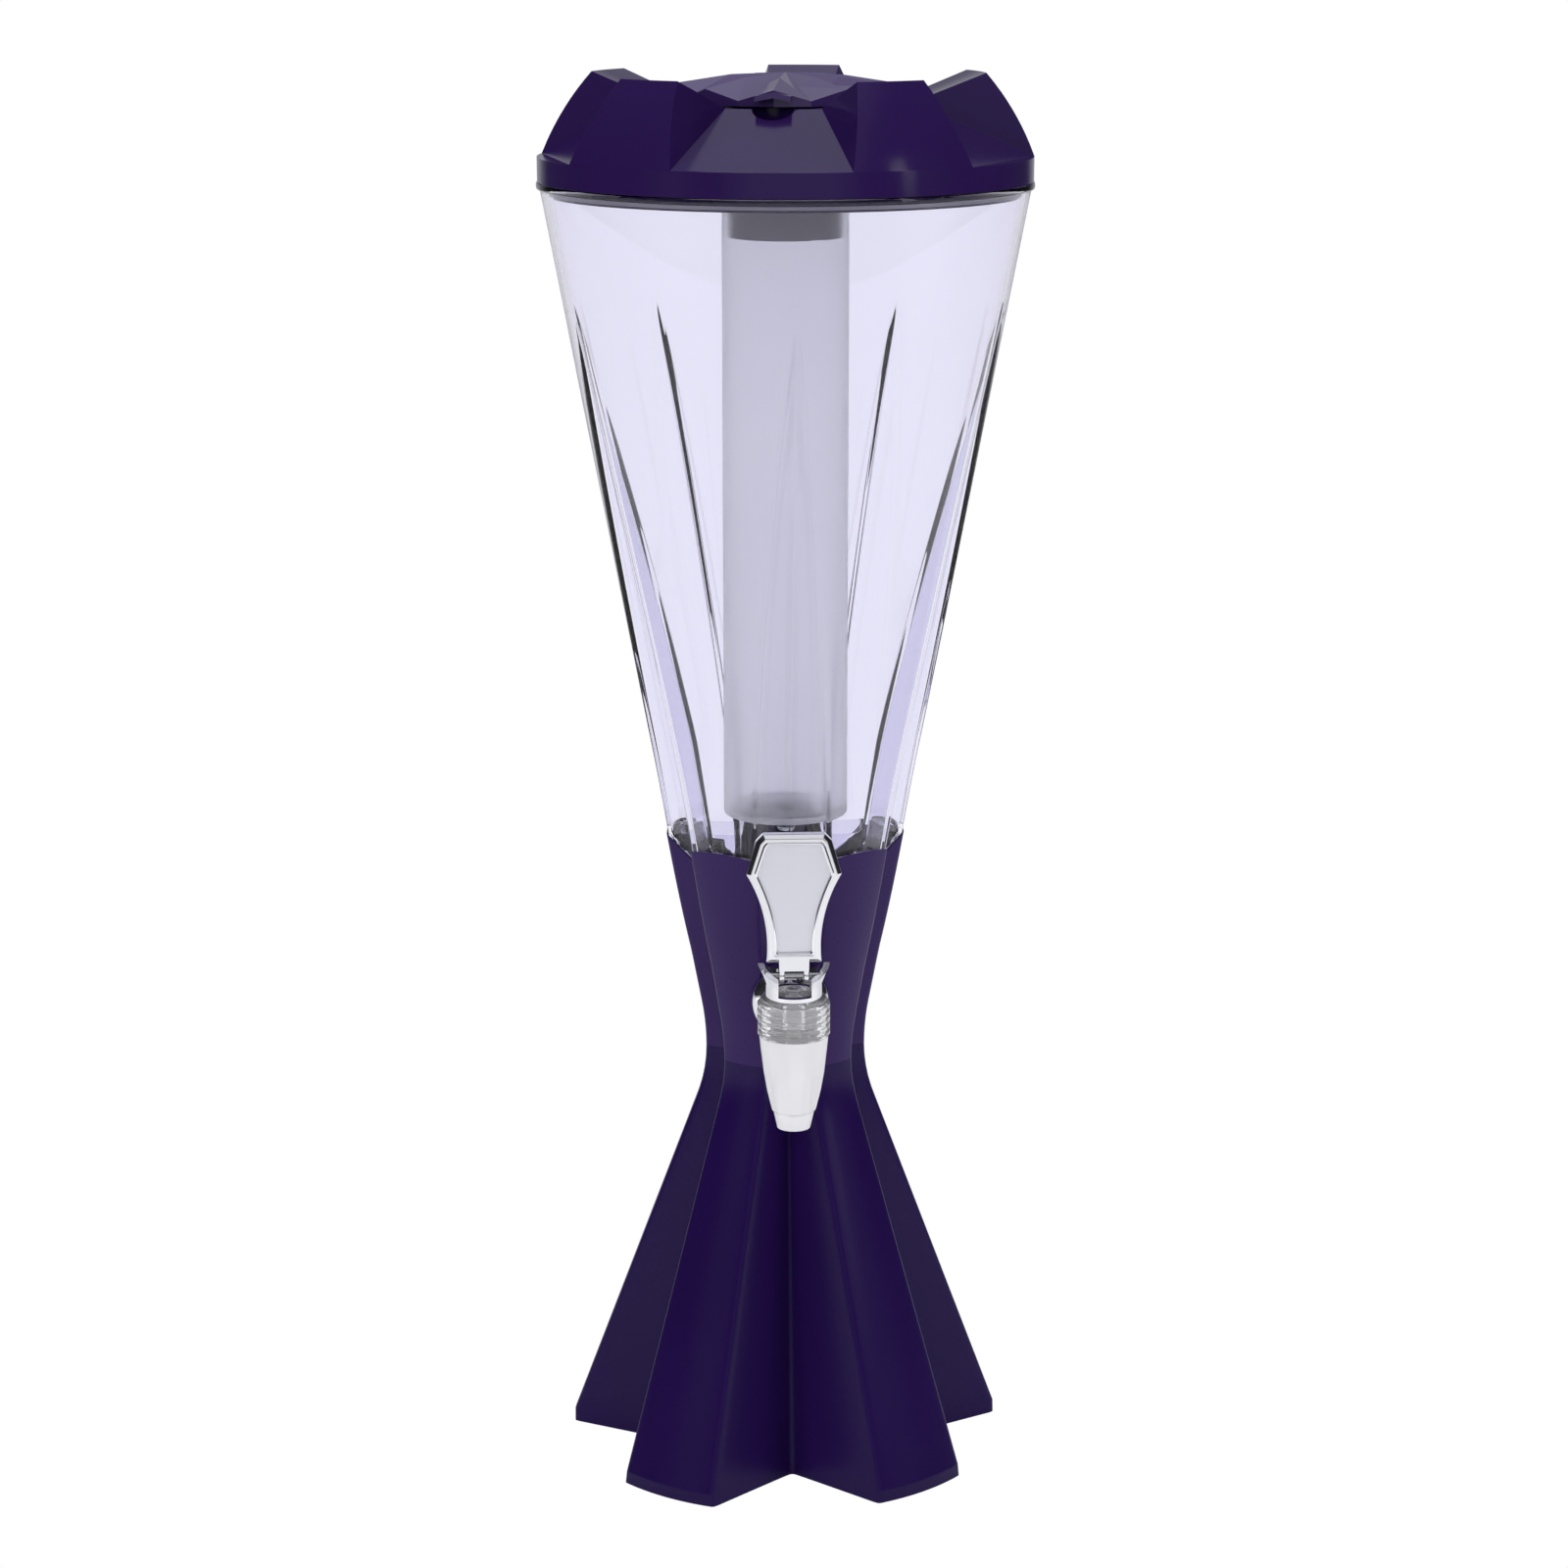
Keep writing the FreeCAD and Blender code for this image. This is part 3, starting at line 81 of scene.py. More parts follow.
class Nodes:
    """Builds one material's node tree."""

    def __init__(self, name: str) -> None:
        """Starts an empty material.

        Args:
            name: the material's name.
        """
        self.material = bpy.data.materials.new(name)
        self.material.use_nodes = True
        self.tree = self.material.node_tree
        self.tree.nodes.clear()
        self.output = self.tree.nodes.new("ShaderNodeOutputMaterial")
        self.coords = self.add("ShaderNodeTexCoord")

    def add(self, kind: str, **values: object) -> bpy.types.Node:
        """Adds a node and sets its attributes or input values.

        Args:
            kind: the node's type name.
            **values: attributes, or inputs with spaces written as underscores.

        Returns:
            The new node.
        """
        node = self.tree.nodes.new(kind)
        for key, value in values.items():
            if hasattr(node, key):
                setattr(node, key, value)
            else:
                node.inputs[key.replace("_", " ")].default_value = value
        return node

    def link(self, start: bpy.types.NodeSocket, end: bpy.types.NodeSocket) -> None:
        """Links two sockets."""
        self.tree.links.new(start, end)

    def noise(
        self, scale: float, detail: float = 3.0, stretch: Sequence[float] = (1, 1, 1),
    ) -> bpy.types.NodeSocket:
        """Adds a noise in object space.

        Args:
            scale: features per metre.
            detail: octaves.
            stretch: scale along each axis.

        Returns:
            The noise's value socket.
        """
        mapping = self.add("ShaderNodeMapping")
        mapping.inputs["Scale"].default_value = stretch
        noise = self.add("ShaderNodeTexNoise", Scale=scale, Detail=detail)
        self.link(self.coords.outputs["Object"], mapping.inputs["Vector"])
        self.link(mapping.outputs["Vector"], noise.inputs["Vector"])
        return noise.outputs["Fac"]

    def span(self, value: bpy.types.NodeSocket, low: float, high: float) -> bpy.types.NodeSocket:
        """Maps a noise value to a range.

        Args:
            value: the socket to map.
            low: result at 0.3.
            high: result at 0.7.

        Returns:
            The mapped socket.
        """
        node = self.add("ShaderNodeMapRange")
        node.inputs["From Min"].default_value = 0.3
        node.inputs["From Max"].default_value = 0.7
        node.inputs["To Min"].default_value = low
        node.inputs["To Max"].default_value = high
        self.link(value, node.inputs["Value"])
        return node.outputs["Result"]

    def tint(
        self, value: bpy.types.NodeSocket, dark: Sequence[float], light: Sequence[float],
    ) -> bpy.types.NodeSocket:
        """Mixes two colours by a value.

        Args:
            value: the mixing socket.
            dark: colour at 0.
            light: colour at 1.

        Returns:
            The mixed colour socket.
        """
        mix = self.add("ShaderNodeMix", data_type="RGBA")
        mix.inputs[6].default_value = (*dark, 1.0)
        mix.inputs[7].default_value = (*light, 1.0)
        self.link(value, mix.inputs[0])
        return mix.outputs[2]

    def bump(self, value: bpy.types.NodeSocket, strength: float, distance: float) -> bpy.types.NodeSocket:
        """Turns a height into a normal.

        Args:
            value: the height socket.
            strength: 0 to 1.
            distance: height in metres.

        Returns:
            The normal socket.
        """
        node = self.add("ShaderNodeBump", Strength=strength, Distance=distance)
        self.link(value, node.inputs["Height"])
        return node.outputs["Normal"]


@dataclass(frozen=True)
class Finish:
    """A surface: its colour, gloss and fine unevenness."""

    name: str
    slot: str
    color: tuple[float, float, float]
    roughness: float
    spread: float = 0.04
    metallic: float = 0.0
    transmission: float = 0.0
    ior: float = 1.5
    coat: float = 0.0
    grain: float = 900.0
    relief: float = 0.00002
    stretch: tuple[float, float, float] = (1.0, 1.0, 1.0)
    variation: float = 0.06
    specular: float = 0.5

    def build(self) -> bpy.types.Material:
        """Makes the material.

        Returns:
            The finished material.
        """
        nodes = Nodes(self.name)
        shader = nodes.add("ShaderNodeBsdfPrincipled")
        shader.inputs["Metallic"].default_value = self.metallic
        shader.inputs["IOR"].default_value = self.ior
        shader.inputs["Transmission Weight"].default_value = self.transmission
        shader.inputs["Coat Weight"].default_value = self.coat
        shader.inputs["Coat Roughness"].default_value = 0.04
        shader.inputs["Specular IOR Level"].default_value = self.specular
        cloud = nodes.noise(14.0, 4.0)
        fine = nodes.noise(self.grain, 4.0, self.stretch)
        dark = tuple(c * (1 - self.variation) for c in self.color)
        light = tuple(min(1.0, c * (1 + self.variation)) for c in self.color)
        nodes.link(nodes.tint(nodes.span(cloud, 0.0, 1.0), dark, light), shader.inputs["Base Color"])
        low = max(0.0, self.roughness - self.spread / 2)
        nodes.link(nodes.span(fine, low, low + self.spread), shader.inputs["Roughness"])
        nodes.link(nodes.bump(fine, 0.6, self.relief), shader.inputs["Normal"])
        nodes.link(shader.outputs["BSDF"], nodes.output.inputs["Surface"])
        return nodes.material


FINISHES = {
    "violet": Finish(
        "violet_gloss", "violet_gloss", (0.0115, 0.0032, 0.048), 0.25, ior=1.24, relief=0.000003,
    ),
    "crown": Finish(
        "violet_crown", "violet_gloss", (0.016, 0.0055, 0.052), 0.14, ior=1.33, relief=0.000002,
    ),
    "collar": Finish(
        "violet_collar", "violet_satin", (0.025, 0.01, 0.075), 0.3, spread=0.06, ior=1.25, relief=0.000004,
    ),
    "flap": Finish("violet_flap", "violet_satin", (0.034, 0.016, 0.09), 0.1, ior=1.5, relief=0.000002),
    "jar": Finish(
        "clear_jar", "clear_jar", (0.885, 0.875, 0.965), 0.0, spread=0.02, transmission=1.0, ior=1.38,
        relief=0.0, variation=0.005,
    ),
    "tube": Finish(
        "misted_tube", "frosted_tube", (0.975, 0.98, 1.0), 0.3, spread=0.02, transmission=0.86, ior=1.12,
        relief=0.0, variation=0.01,
    ),
    "tap": Finish(
        "clear_tap", "clear_tap", (0.97, 0.97, 0.99), 0.05, spread=0.06, transmission=0.85, ior=1.4,
        relief=0.0, variation=0.01,
    ),
    "nozzle": Finish(
        "misted_nozzle", "clear_tap", (0.985, 0.98, 1.0), 0.12, spread=0.06, transmission=0.35, ior=1.3,
        relief=0.0, variation=0.01,
    ),
    "chrome": Finish(
        "chrome", "chrome", (0.86, 0.86, 0.88), 0.06, metallic=1.0, relief=0.000001, variation=0.02,
    ),
    "panel": Finish(
        "satin_panel", "chrome", (0.8, 0.8, 0.85), 0.36, spread=0.1, metallic=0.85, relief=0.000006,
        variation=0.03,
    ),
    "seal": Finish("seal", "seal", (0.25, 0.24, 0.3), 0.6, spread=0.15, relief=0.00006),
    "silicone": Finish("silicone", "silicone", (0.3, 0.28, 0.27), 0.45, spread=0.1, relief=0.00003),
    "steel": Finish(
        "steel", "steel", (0.55, 0.55, 0.57), 0.28, spread=0.12, metallic=1.0, relief=0.00001,
        stretch=(1, 1, 12),
    ),
    "white": Finish("white_plastic", "white_plastic", (0.8, 0.8, 0.8), 0.4, spread=0.1, relief=0.00004),
}


# Meshes


@dataclass
class Piece:
    """One new mesh, how it rides and what it stands for."""

    name: str
    finish: str
    body: Body
    replaces: tuple[str, ...] = ()
    crease: float = 32.0
    flat: bool = False

    def make(self, mesh: bmesh.types.BMesh, materials: dict[str, bpy.types.Material]) -> bpy.types.Object:
        """Turns a bmesh into a riding object.

        Args:
            mesh: geometry in metres, freed here.
            materials: finishes by name.

        Returns:
            The object.
        """
        bmesh.ops.recalc_face_normals(mesh, faces=mesh.faces)
        data = bpy.data.meshes.new(self.name)
        mesh.to_mesh(data)
        mesh.free()
        piece = bpy.data.objects.new(self.name, data)
        bpy.context.scene.collection.objects.link(piece)
        data.materials.append(materials[self.finish])
        data.shade_smooth()
        data.set_sharp_from_angle(angle=math.radians(self.crease))
        if self.flat:
            weights = piece.modifiers.new("weights", "WEIGHTED_NORMAL")
            weights.keep_sharp = True
        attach(piece, self.body.value)
        if self.replaces:
            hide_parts(*self.replaces)
        log.info("%s: %d faces", self.name, len(data.polygons))
        return piece


def flare(end: float, end_height: float, waist: float, bend: float, height: float) -> float:
    """Radius of a flare, a line and then an arc, between a free end and the waist.

    Args:
        end: radius at the free end.
        end_height: height of the free end.
        waist: radius at the waist.
        bend: radius of the arc.
        height: height asked for.

    Returns:
        The radius at that height.
    """
    centre = waist + bend
    reach_r = centre - end
    reach_z = WAIST - end_height
    distance = math.hypot(reach_r, reach_z)
    side = 1 if reach_z > 0 else -1
    heading = math.atan2(reach_z, reach_r) + side * math.asin(bend / distance)
    length = math.sqrt(distance**2 - bend**2)
    tangent_r = end + length * math.cos(heading)
    tangent_z = end_height + length * math.sin(heading)
    if (height - tangent_z) * side < 0:
        share = (height - end_height) / (tangent_z - end_height)
        return end + (tangent_r - end) * share
    return centre - math.sqrt(max(0.0, bend**2 - (height - WAIST) ** 2))


def cone(height: float) -> float:
    """Radius of the jar's cone at a height."""
    neck = COLLAR_RADIUS - JAR_STEP
    return neck + (JAR_RIM_RADIUS - neck) * (height - COLLAR_TOP) / (JAR_RIM - COLLAR_TOP)


def jar_groove(height: float) -> float:
    """Radius of the bottom of the jar's grooves at a height."""
    share = (height - COLLAR_TOP) / (JAR_GROOVE_TIP - COLLAR_TOP)
    rise = (cone(JAR_GROOVE_TIP) - JAR_GROOVE_START) * share
    return JAR_GROOVE_START + rise - JAR_GROOVE_BOW * share * (1 - share)


@dataclass
class StarRing:
    """One horizontal outline of a lobed shell, in millimetres."""

    height: float
    lobe: float
    groove: float
    inset: float = 0.0
    dish: float = 0.0
    edge: float = 2.4
    valley: float = 0.02

    def points(self, walls: Sequence[float], arcs: Sequence[float]) -> list[Vector]:
        """Points of the outline, counted from the groove that faces the tap.

        Args:
            walls: shares of a groove wall, from its bottom to its edge.
            arcs: shares of half a lobe, from its edge to its middle.

        Returns:
            Points in metres.
        """
        lobe = self.lobe - self.inset
        groove = self.groove - self.inset / math.sin(GROOVE_FLARE)
        half = SECTOR / 2
        ratio = min(0.999, groove * math.sin(GROOVE_FLARE) / lobe)
        corner = max(0.004, GROOVE_FLARE - math.asin(ratio)) if groove < lobe else 0.004
        angles = [corner * u for u in walls] + [corner + (half - corner) * u for u in arcs]
        radii = [self.radius(a, lobe, groove) for a in angles]
        points = []
        for k in range(LOBES):
            forward = [(k * SECTOR + a, r) for a, r in zip(angles, radii)]
            backward = [((k + 1) * SECTOR - a, r) for a, r in reversed(list(zip(angles, radii)))]
            for angle, radius in forward + backward[1:-1]:
                points.append(self.place(angle, radius))
        return points

    def radius(self, angle: float, lobe: float, groove: float) -> float:
        """Radius of the outline at an angle from a groove."""
        if groove >= lobe:
            return lobe
        soft = math.sqrt(angle**2 + self.valley**2)
        if soft >= GROOVE_FLARE - 0.02:
            return lobe
        wall = groove * math.sin(GROOVE_FLARE) / math.sin(GROOVE_FLARE - soft)
        blend = max(self.edge - abs(wall - lobe), 0.0) / self.edge
        return min(wall, lobe) - blend**2 * self.edge / 4

    def place(self, angle: float, radius: float) -> Vector:
        """Point at an angle from the tap's side towards +X."""
        lean = (angle + SECTOR) % SECTOR - SECTOR / 2
        height = self.height - self.dish * EDGE_SLOPE * (COLLAR_RADIUS - radius * math.cos(lean))
        return Vector((radius * math.sin(angle), -radius * math.cos(angle), height)) * MM


WALL_SHARES = (0, 0.03, 0.07, 0.13, 0.22, 0.35, 0.5, 0.65, 0.78, 0.87, 0.93, 0.97, 1.0)
ARC_SHARES = (0.03, 0.08, 0.15, 0.25, 0.38, 0.52, 0.68, 0.84, 1.0)


def ring_mesh(rings: Sequence[StarRing], closed: bool) -> bmesh.types.BMesh:
    """Skin over a stack of rings.

    Args:
        rings: outlines in order.
        closed: joins the last ring to the first; otherwise both ends get a cap.

    Returns:
        The mesh.
    """
    mesh = bmesh.new()
    loops = [[mesh.verts.new(p) for p in ring.points(WALL_SHARES, ARC_SHARES)] for ring in rings]
    count = len(loops[0])
    pairs = list(zip(loops, loops[1:]))
    if closed:
        pairs.append((loops[-1], loops[0]))
    for lower, upper in pairs:
        for i in range(count):
            j = (i + 1) % count
            mesh.faces.new((lower[i], lower[j], upper[j], upper[i]))
    if not closed:
        for loop in (loops[0], loops[-1]):
            centre = sum((v.co for v in loop), Vector()) / count
            pole = mesh.verts.new(centre)
            for i in range(count):
                mesh.faces.new((loop[i], loop[(i + 1) % count], pole))
    return mesh


def spun(profile: Sequence[tuple[float, float]], steps: int, closed: bool = True) -> bmesh.types.BMesh:
    """Turned shape about Z from a profile of radius and height in millimetres.

    Args:
        profile: points; an open profile starts and ends on the axis.
        steps: columns.
        closed: joins the last point to the first.

    Returns:
        The mesh.
    """
    mesh = bmesh.new()
    verts = [mesh.verts.new(Vector((r, 0, z)) * MM) for r, z in profile]
    edges = [mesh.edges.new(pair) for pair in zip(verts, verts[1:])]
    if closed:
        edges.append(mesh.edges.new((verts[-1], verts[0])))
    bmesh.ops.spin(
        mesh, geom=verts + edges, cent=(0, 0, 0), axis=(0, 0, 1), dvec=(0, 0, 0),
        angle=2 * math.pi, steps=steps, use_merge=True, use_normal_flip=False, use_duplicate=False,
    )
    bmesh.ops.remove_doubles(mesh, verts=mesh.verts, dist=1e-7)
    return mesh


def rounded(
    profile: Sequence[tuple[float, float]], radius: float, closed: bool = True,
) -> list[tuple[float, float]]:
    """Profile with its corners rounded by short arcs.

    Args:
        profile: corner points.
        radius: how far each arc starts from its corner.
        closed: whether the ends are corners too.

    Returns:
        The new points.
    """
    count = len(profile)
    result: list[tuple[float, float]] = []
    for i, point in enumerate(profile):
        if not closed and i in (0, count - 1):
            result.append(point)
            continue
        corner = Vector(point)
        before = Vector(profile[i - 1]) - corner
        after = Vector(profile[(i + 1) % count]) - corner
        reach = min(radius, before.length * 0.45, after.length * 0.45)
        start = corner + before.normalized() * reach
        end = corner + after.normalized() * reach
        for share in (0.0, 0.25, 0.5, 0.75, 1.0):
            curve = start * (1 - share) ** 2 + corner * 2 * share * (1 - share) + end * share**2
            result.append((curve.x, curve.y))
    return result


def transformed(mesh: bmesh.types.BMesh, matrix: Matrix) -> bmesh.types.BMesh:
    """Mesh moved by a matrix."""
    bmesh.ops.transform(mesh, matrix=matrix, verts=mesh.verts)
    return mesh


def facing_tap(mesh: bmesh.types.BMesh) -> bmesh.types.BMesh:
    """Mesh turned about Z, laid along -Y at the tap's height."""
    return transformed(mesh, Matrix.Translation((0, 0, TAP_Z * MM)) @ Matrix.Rotation(math.pi / 2, 4, "X"))


def softened(node: str, width: float, angle: float = 14.0) -> bmesh.types.BMesh:
    """Copy of a CAD node's surface with its edges rounded.

    Args:
        node: the node's name.
        width: bevel width in millimetres.
        angle: edges sharper than this are rounded, in degrees.

    Returns:
        The mesh.
    """
    mesh = bmesh.new()
    mesh.from_mesh(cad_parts[node].data)
    bmesh.ops.remove_doubles(mesh, verts=mesh.verts, dist=2e-6)
    bmesh.ops.dissolve_limit(
        mesh, angle_limit=math.radians(0.6), use_dissolve_boundaries=False,
        verts=mesh.verts, edges=mesh.edges, delimit=set(),
    )
    bmesh.ops.recalc_face_normals(mesh, faces=mesh.faces)
    sharp = [e for e in mesh.edges if len(e.link_faces) == 2 and e.calc_face_angle() > math.radians(angle)]
    bmesh.ops.bevel(
        mesh, geom=sharp, offset=width * MM, offset_type="OFFSET", affect="EDGES",
        segments=3, profile=0.5, clamp_overlap=True, material=-1,
    )
    return mesh


# The tower's assemblies


@dataclass
class Stand:
    """The pedestal and the collar, with the pad that the tap sits on."""

    foot: float = 87.6
    foot_groove: float = 51.0
    waist: float = 32.1
    waist_groove: float = 20.9
    band: float = 5.0
    bend: float = 60.0
    wall: float = 2.5
    plate: float = 4.0
    collar: float = COLLAR_RADIUS
    collar_groove: float = 32.7
    collar_bend: float = 100.0
    collar_wall: float = 2.2
    pad: float = 15.6
    seat: float = 35.2

    def pedestal_ring(self, height: float, inset: float) -> StarRing:
        """Outline of the pedestal at a height."""
        lobe = flare(self.foot, self.band, self.waist, self.bend, max(height, self.band))
        groove = flare(self.foot_groove, 0.0, self.waist_groove, self.bend, height)
        return StarRing(height, lobe, groove, inset, edge=2.2 if inset == 0 else 0.6)

    def collar_ring(self, height: float, inset: float, dish: float = 0.0) -> StarRing:
        """Outline of the collar at a height."""
        lobe = flare(self.collar, COLLAR_TOP, self.waist, self.collar_bend, height)
        groove = flare(self.collar_groove, COLLAR_TOP, self.waist_groove, self.collar_bend, height)
        return StarRing(height, lobe, groove, inset, dish, edge=2.0 if inset == 0 else 0.6)

    def pedestal(self) -> bmesh.types.BMesh:
        """Hollow foot, open underneath."""
        top = WAIST - 0.02
        heights = [0.0, 0.5, 2.5, 4.6, 5.0, 5.4]
        heights += [5.4 + (top - 5.8) * i / 34 for i in range(1, 35)] + [top]
        depths = [z for z in reversed([0.0] + heights[5:]) if z < WAIST - self.plate]
        inner = [self.pedestal_ring(z, self.wall) for z in depths]
        cap = self.pedestal_ring(WAIST - self.plate, self.wall)
        outer = [self.pedestal_ring(z, 0.0) for z in heights]
        return ring_mesh([cap] + inner + outer, closed=False)

    def collar_shell(self) -> bmesh.types.BMesh:
        """Lobed sleeve with a dished top edge and a floor."""
        low = WAIST + 0.02
        floor = WAIST + self.plate
        steps = [low] + [low + (COLLAR_TOP - low) * i / 24 for i in range(1, 24)]
        outer = [self.collar_ring(z, 0.0, self.dish(z)) for z in steps]
        outer += [self.collar_ring(COLLAR_TOP - 0.25, 0.0, 1.0), self.collar_ring(COLLAR_TOP, 0.25, 1.0)]
        inner = [self.collar_ring(COLLAR_TOP, self.collar_wall - 0.25, 1.0)]
        depths = [z for z in reversed(steps) if z > floor + 1]
        inner += [self.collar_ring(z, self.collar_wall, self.dish(z)) for z in depths]
        inner.append(self.collar_ring(floor, self.collar_wall))
        inner += [StarRing(floor, 13.3, 20.0), StarRing(low, 13.3, 20.0)]
        return ring_mesh(outer + inner, closed=True)

    def dish(self, height: float) -> float:
        """Share of the edge's dip at a height."""
        return max(0.0, min(1.0, (height - 205.0) / (COLLAR_TOP - 205.0)))

    def tap_pad(self) -> bmesh.types.BMesh:
        """Round boss on the collar's front."""
        outline = [(0, 12), (self.pad, 12), (self.pad, self.seat), (0, self.seat)]
        return facing_tap(spun(rounded(outline, 0.7, closed=False), 96, closed=False))

    def build(self, materials: dict[str, bpy.types.Material]) -> None:
        """Makes the stand's pieces."""
        Piece("pedestal_shell", "violet", Body.TOWER, ("pedestal",)).make(self.pedestal(), materials)
        Piece("collar_shell", "collar", Body.TOWER, ("collar",)).make(self.collar_shell(), materials)
        Piece("collar_tap_pad", "collar", Body.TOWER).make(self.tap_pad(), materials)


@dataclass
class Jar:
    """The clear jar, inside and out."""

    stand: Stand
    wall: float = 2.6
    sleeve: float = 2.5
    low: float = 169.0
    floor: float = 172.0
    bead: float = 95.5

    def cone_ring(self, height: float, inset: float, dish: float = 0.0) -> StarRing:
        """Outline of the cone at a height."""
        groove = jar_groove(height) if height < JAR_GROOVE_TIP else cone(height) + 1
        groove = groove if groove < cone(height) - 0.02 else cone(height) + 1
        return StarRing(height, cone(height), groove, inset, dish, edge=0.9, valley=0.012)

    def build(self, materials: dict[str, bpy.types.Material]) -> None:
        """Makes the jar."""
        edge = COLLAR_TOP + 0.3
        steps = [self.low + (edge - self.low) * i / 10 for i in range(10)]
        core = [self.stand.collar_ring(z, self.sleeve) for z in steps]
        core.append(self.stand.collar_ring(edge, self.sleeve, 1.0))
        heights = [edge, edge + 1.0] + [edge + 2 + (462 - edge) * i / 46 for i in range(47)]
        heights += [468.0, 480.0, 495.0, 505.0, 508.4]
        outer = [self.cone_ring(z, 0.0, self.fade(z)) for z in heights]
        swell = [(508.5, 94.9), (508.8, 95.35), (509.3, self.bead), (510.4, self.bead), (510.85, 95.3)]
        swell += [(JAR_RIM, 94.9), (JAR_RIM, 92.4), (510.8, 92.05)]
        bead = [StarRing(z, r, r + 1) for z, r in swell]
        inner = [self.cone_ring(z, self.wall, self.fade(z)) for z in reversed(heights[1:])]
        depths = [COLLAR_TOP - 2 - i * (COLLAR_TOP - 2 - self.floor) / 10 for i in range(11)]
        neck = [self.stand.collar_ring(z, self.sleeve + self.wall) for z in depths]
        mesh = ring_mesh(core + outer + bead + inner + neck, closed=False)
        Piece("jar_shell", "jar", Body.TOWER, ("jar",), crease=40).make(mesh, materials)
        seat = spun(rounded([(7.3, 11.6), (11.4, 11.6), (11.4, 30), (7.3, 30)], 0.4), 64)
        Piece("jar_tap_seat", "jar", Body.TOWER).make(facing_tap(seat), materials)

    def fade(self, height: float) -> float:
        """Share of the collar edge's dip that the jar's rows follow."""
        return max(0.0, 1.0 - (height - COLLAR_TOP) / 40.0)


@dataclass
class Lid:
    """The crown, its flap and the ice tube."""

    tube: float = 24.5
    tube_wall: float = 2.2
    tube_low: float = 262.5
    tube_top: float = 507.5

    def build(self, materials: dict[str, bpy.types.Material]) -> None:
        """Makes the lid's pieces."""
        crown = Piece("crown_shell", "crown", Body.LID, ("lid_crown",), crease=40, flat=True)
        crown.make(softened("lid_crown", 0.55), materials)
        flap = Piece("pleated_flap", "flap", Body.FLAP, ("star_flap",), crease=40, flat=True)
        flap.make(softened("star_flap", 0.3, 5.0), materials)
        bore = self.tube - self.tube_wall
        low = self.tube_low
        outline = [(0, low - 7.5), (4, low - 7.5), (4, low), (self.tube, low), (self.tube, self.tube_top)]
        outline += [(bore, self.tube_top), (bore, low + self.tube_wall), (0, low + self.tube_wall)]
        tube = spun(rounded(outline, 1.4, closed=False), 128, closed=False)
        Piece("ice_tube_wall", "tube", Body.TUBE, ("ice_tube",)).make(tube, materials)


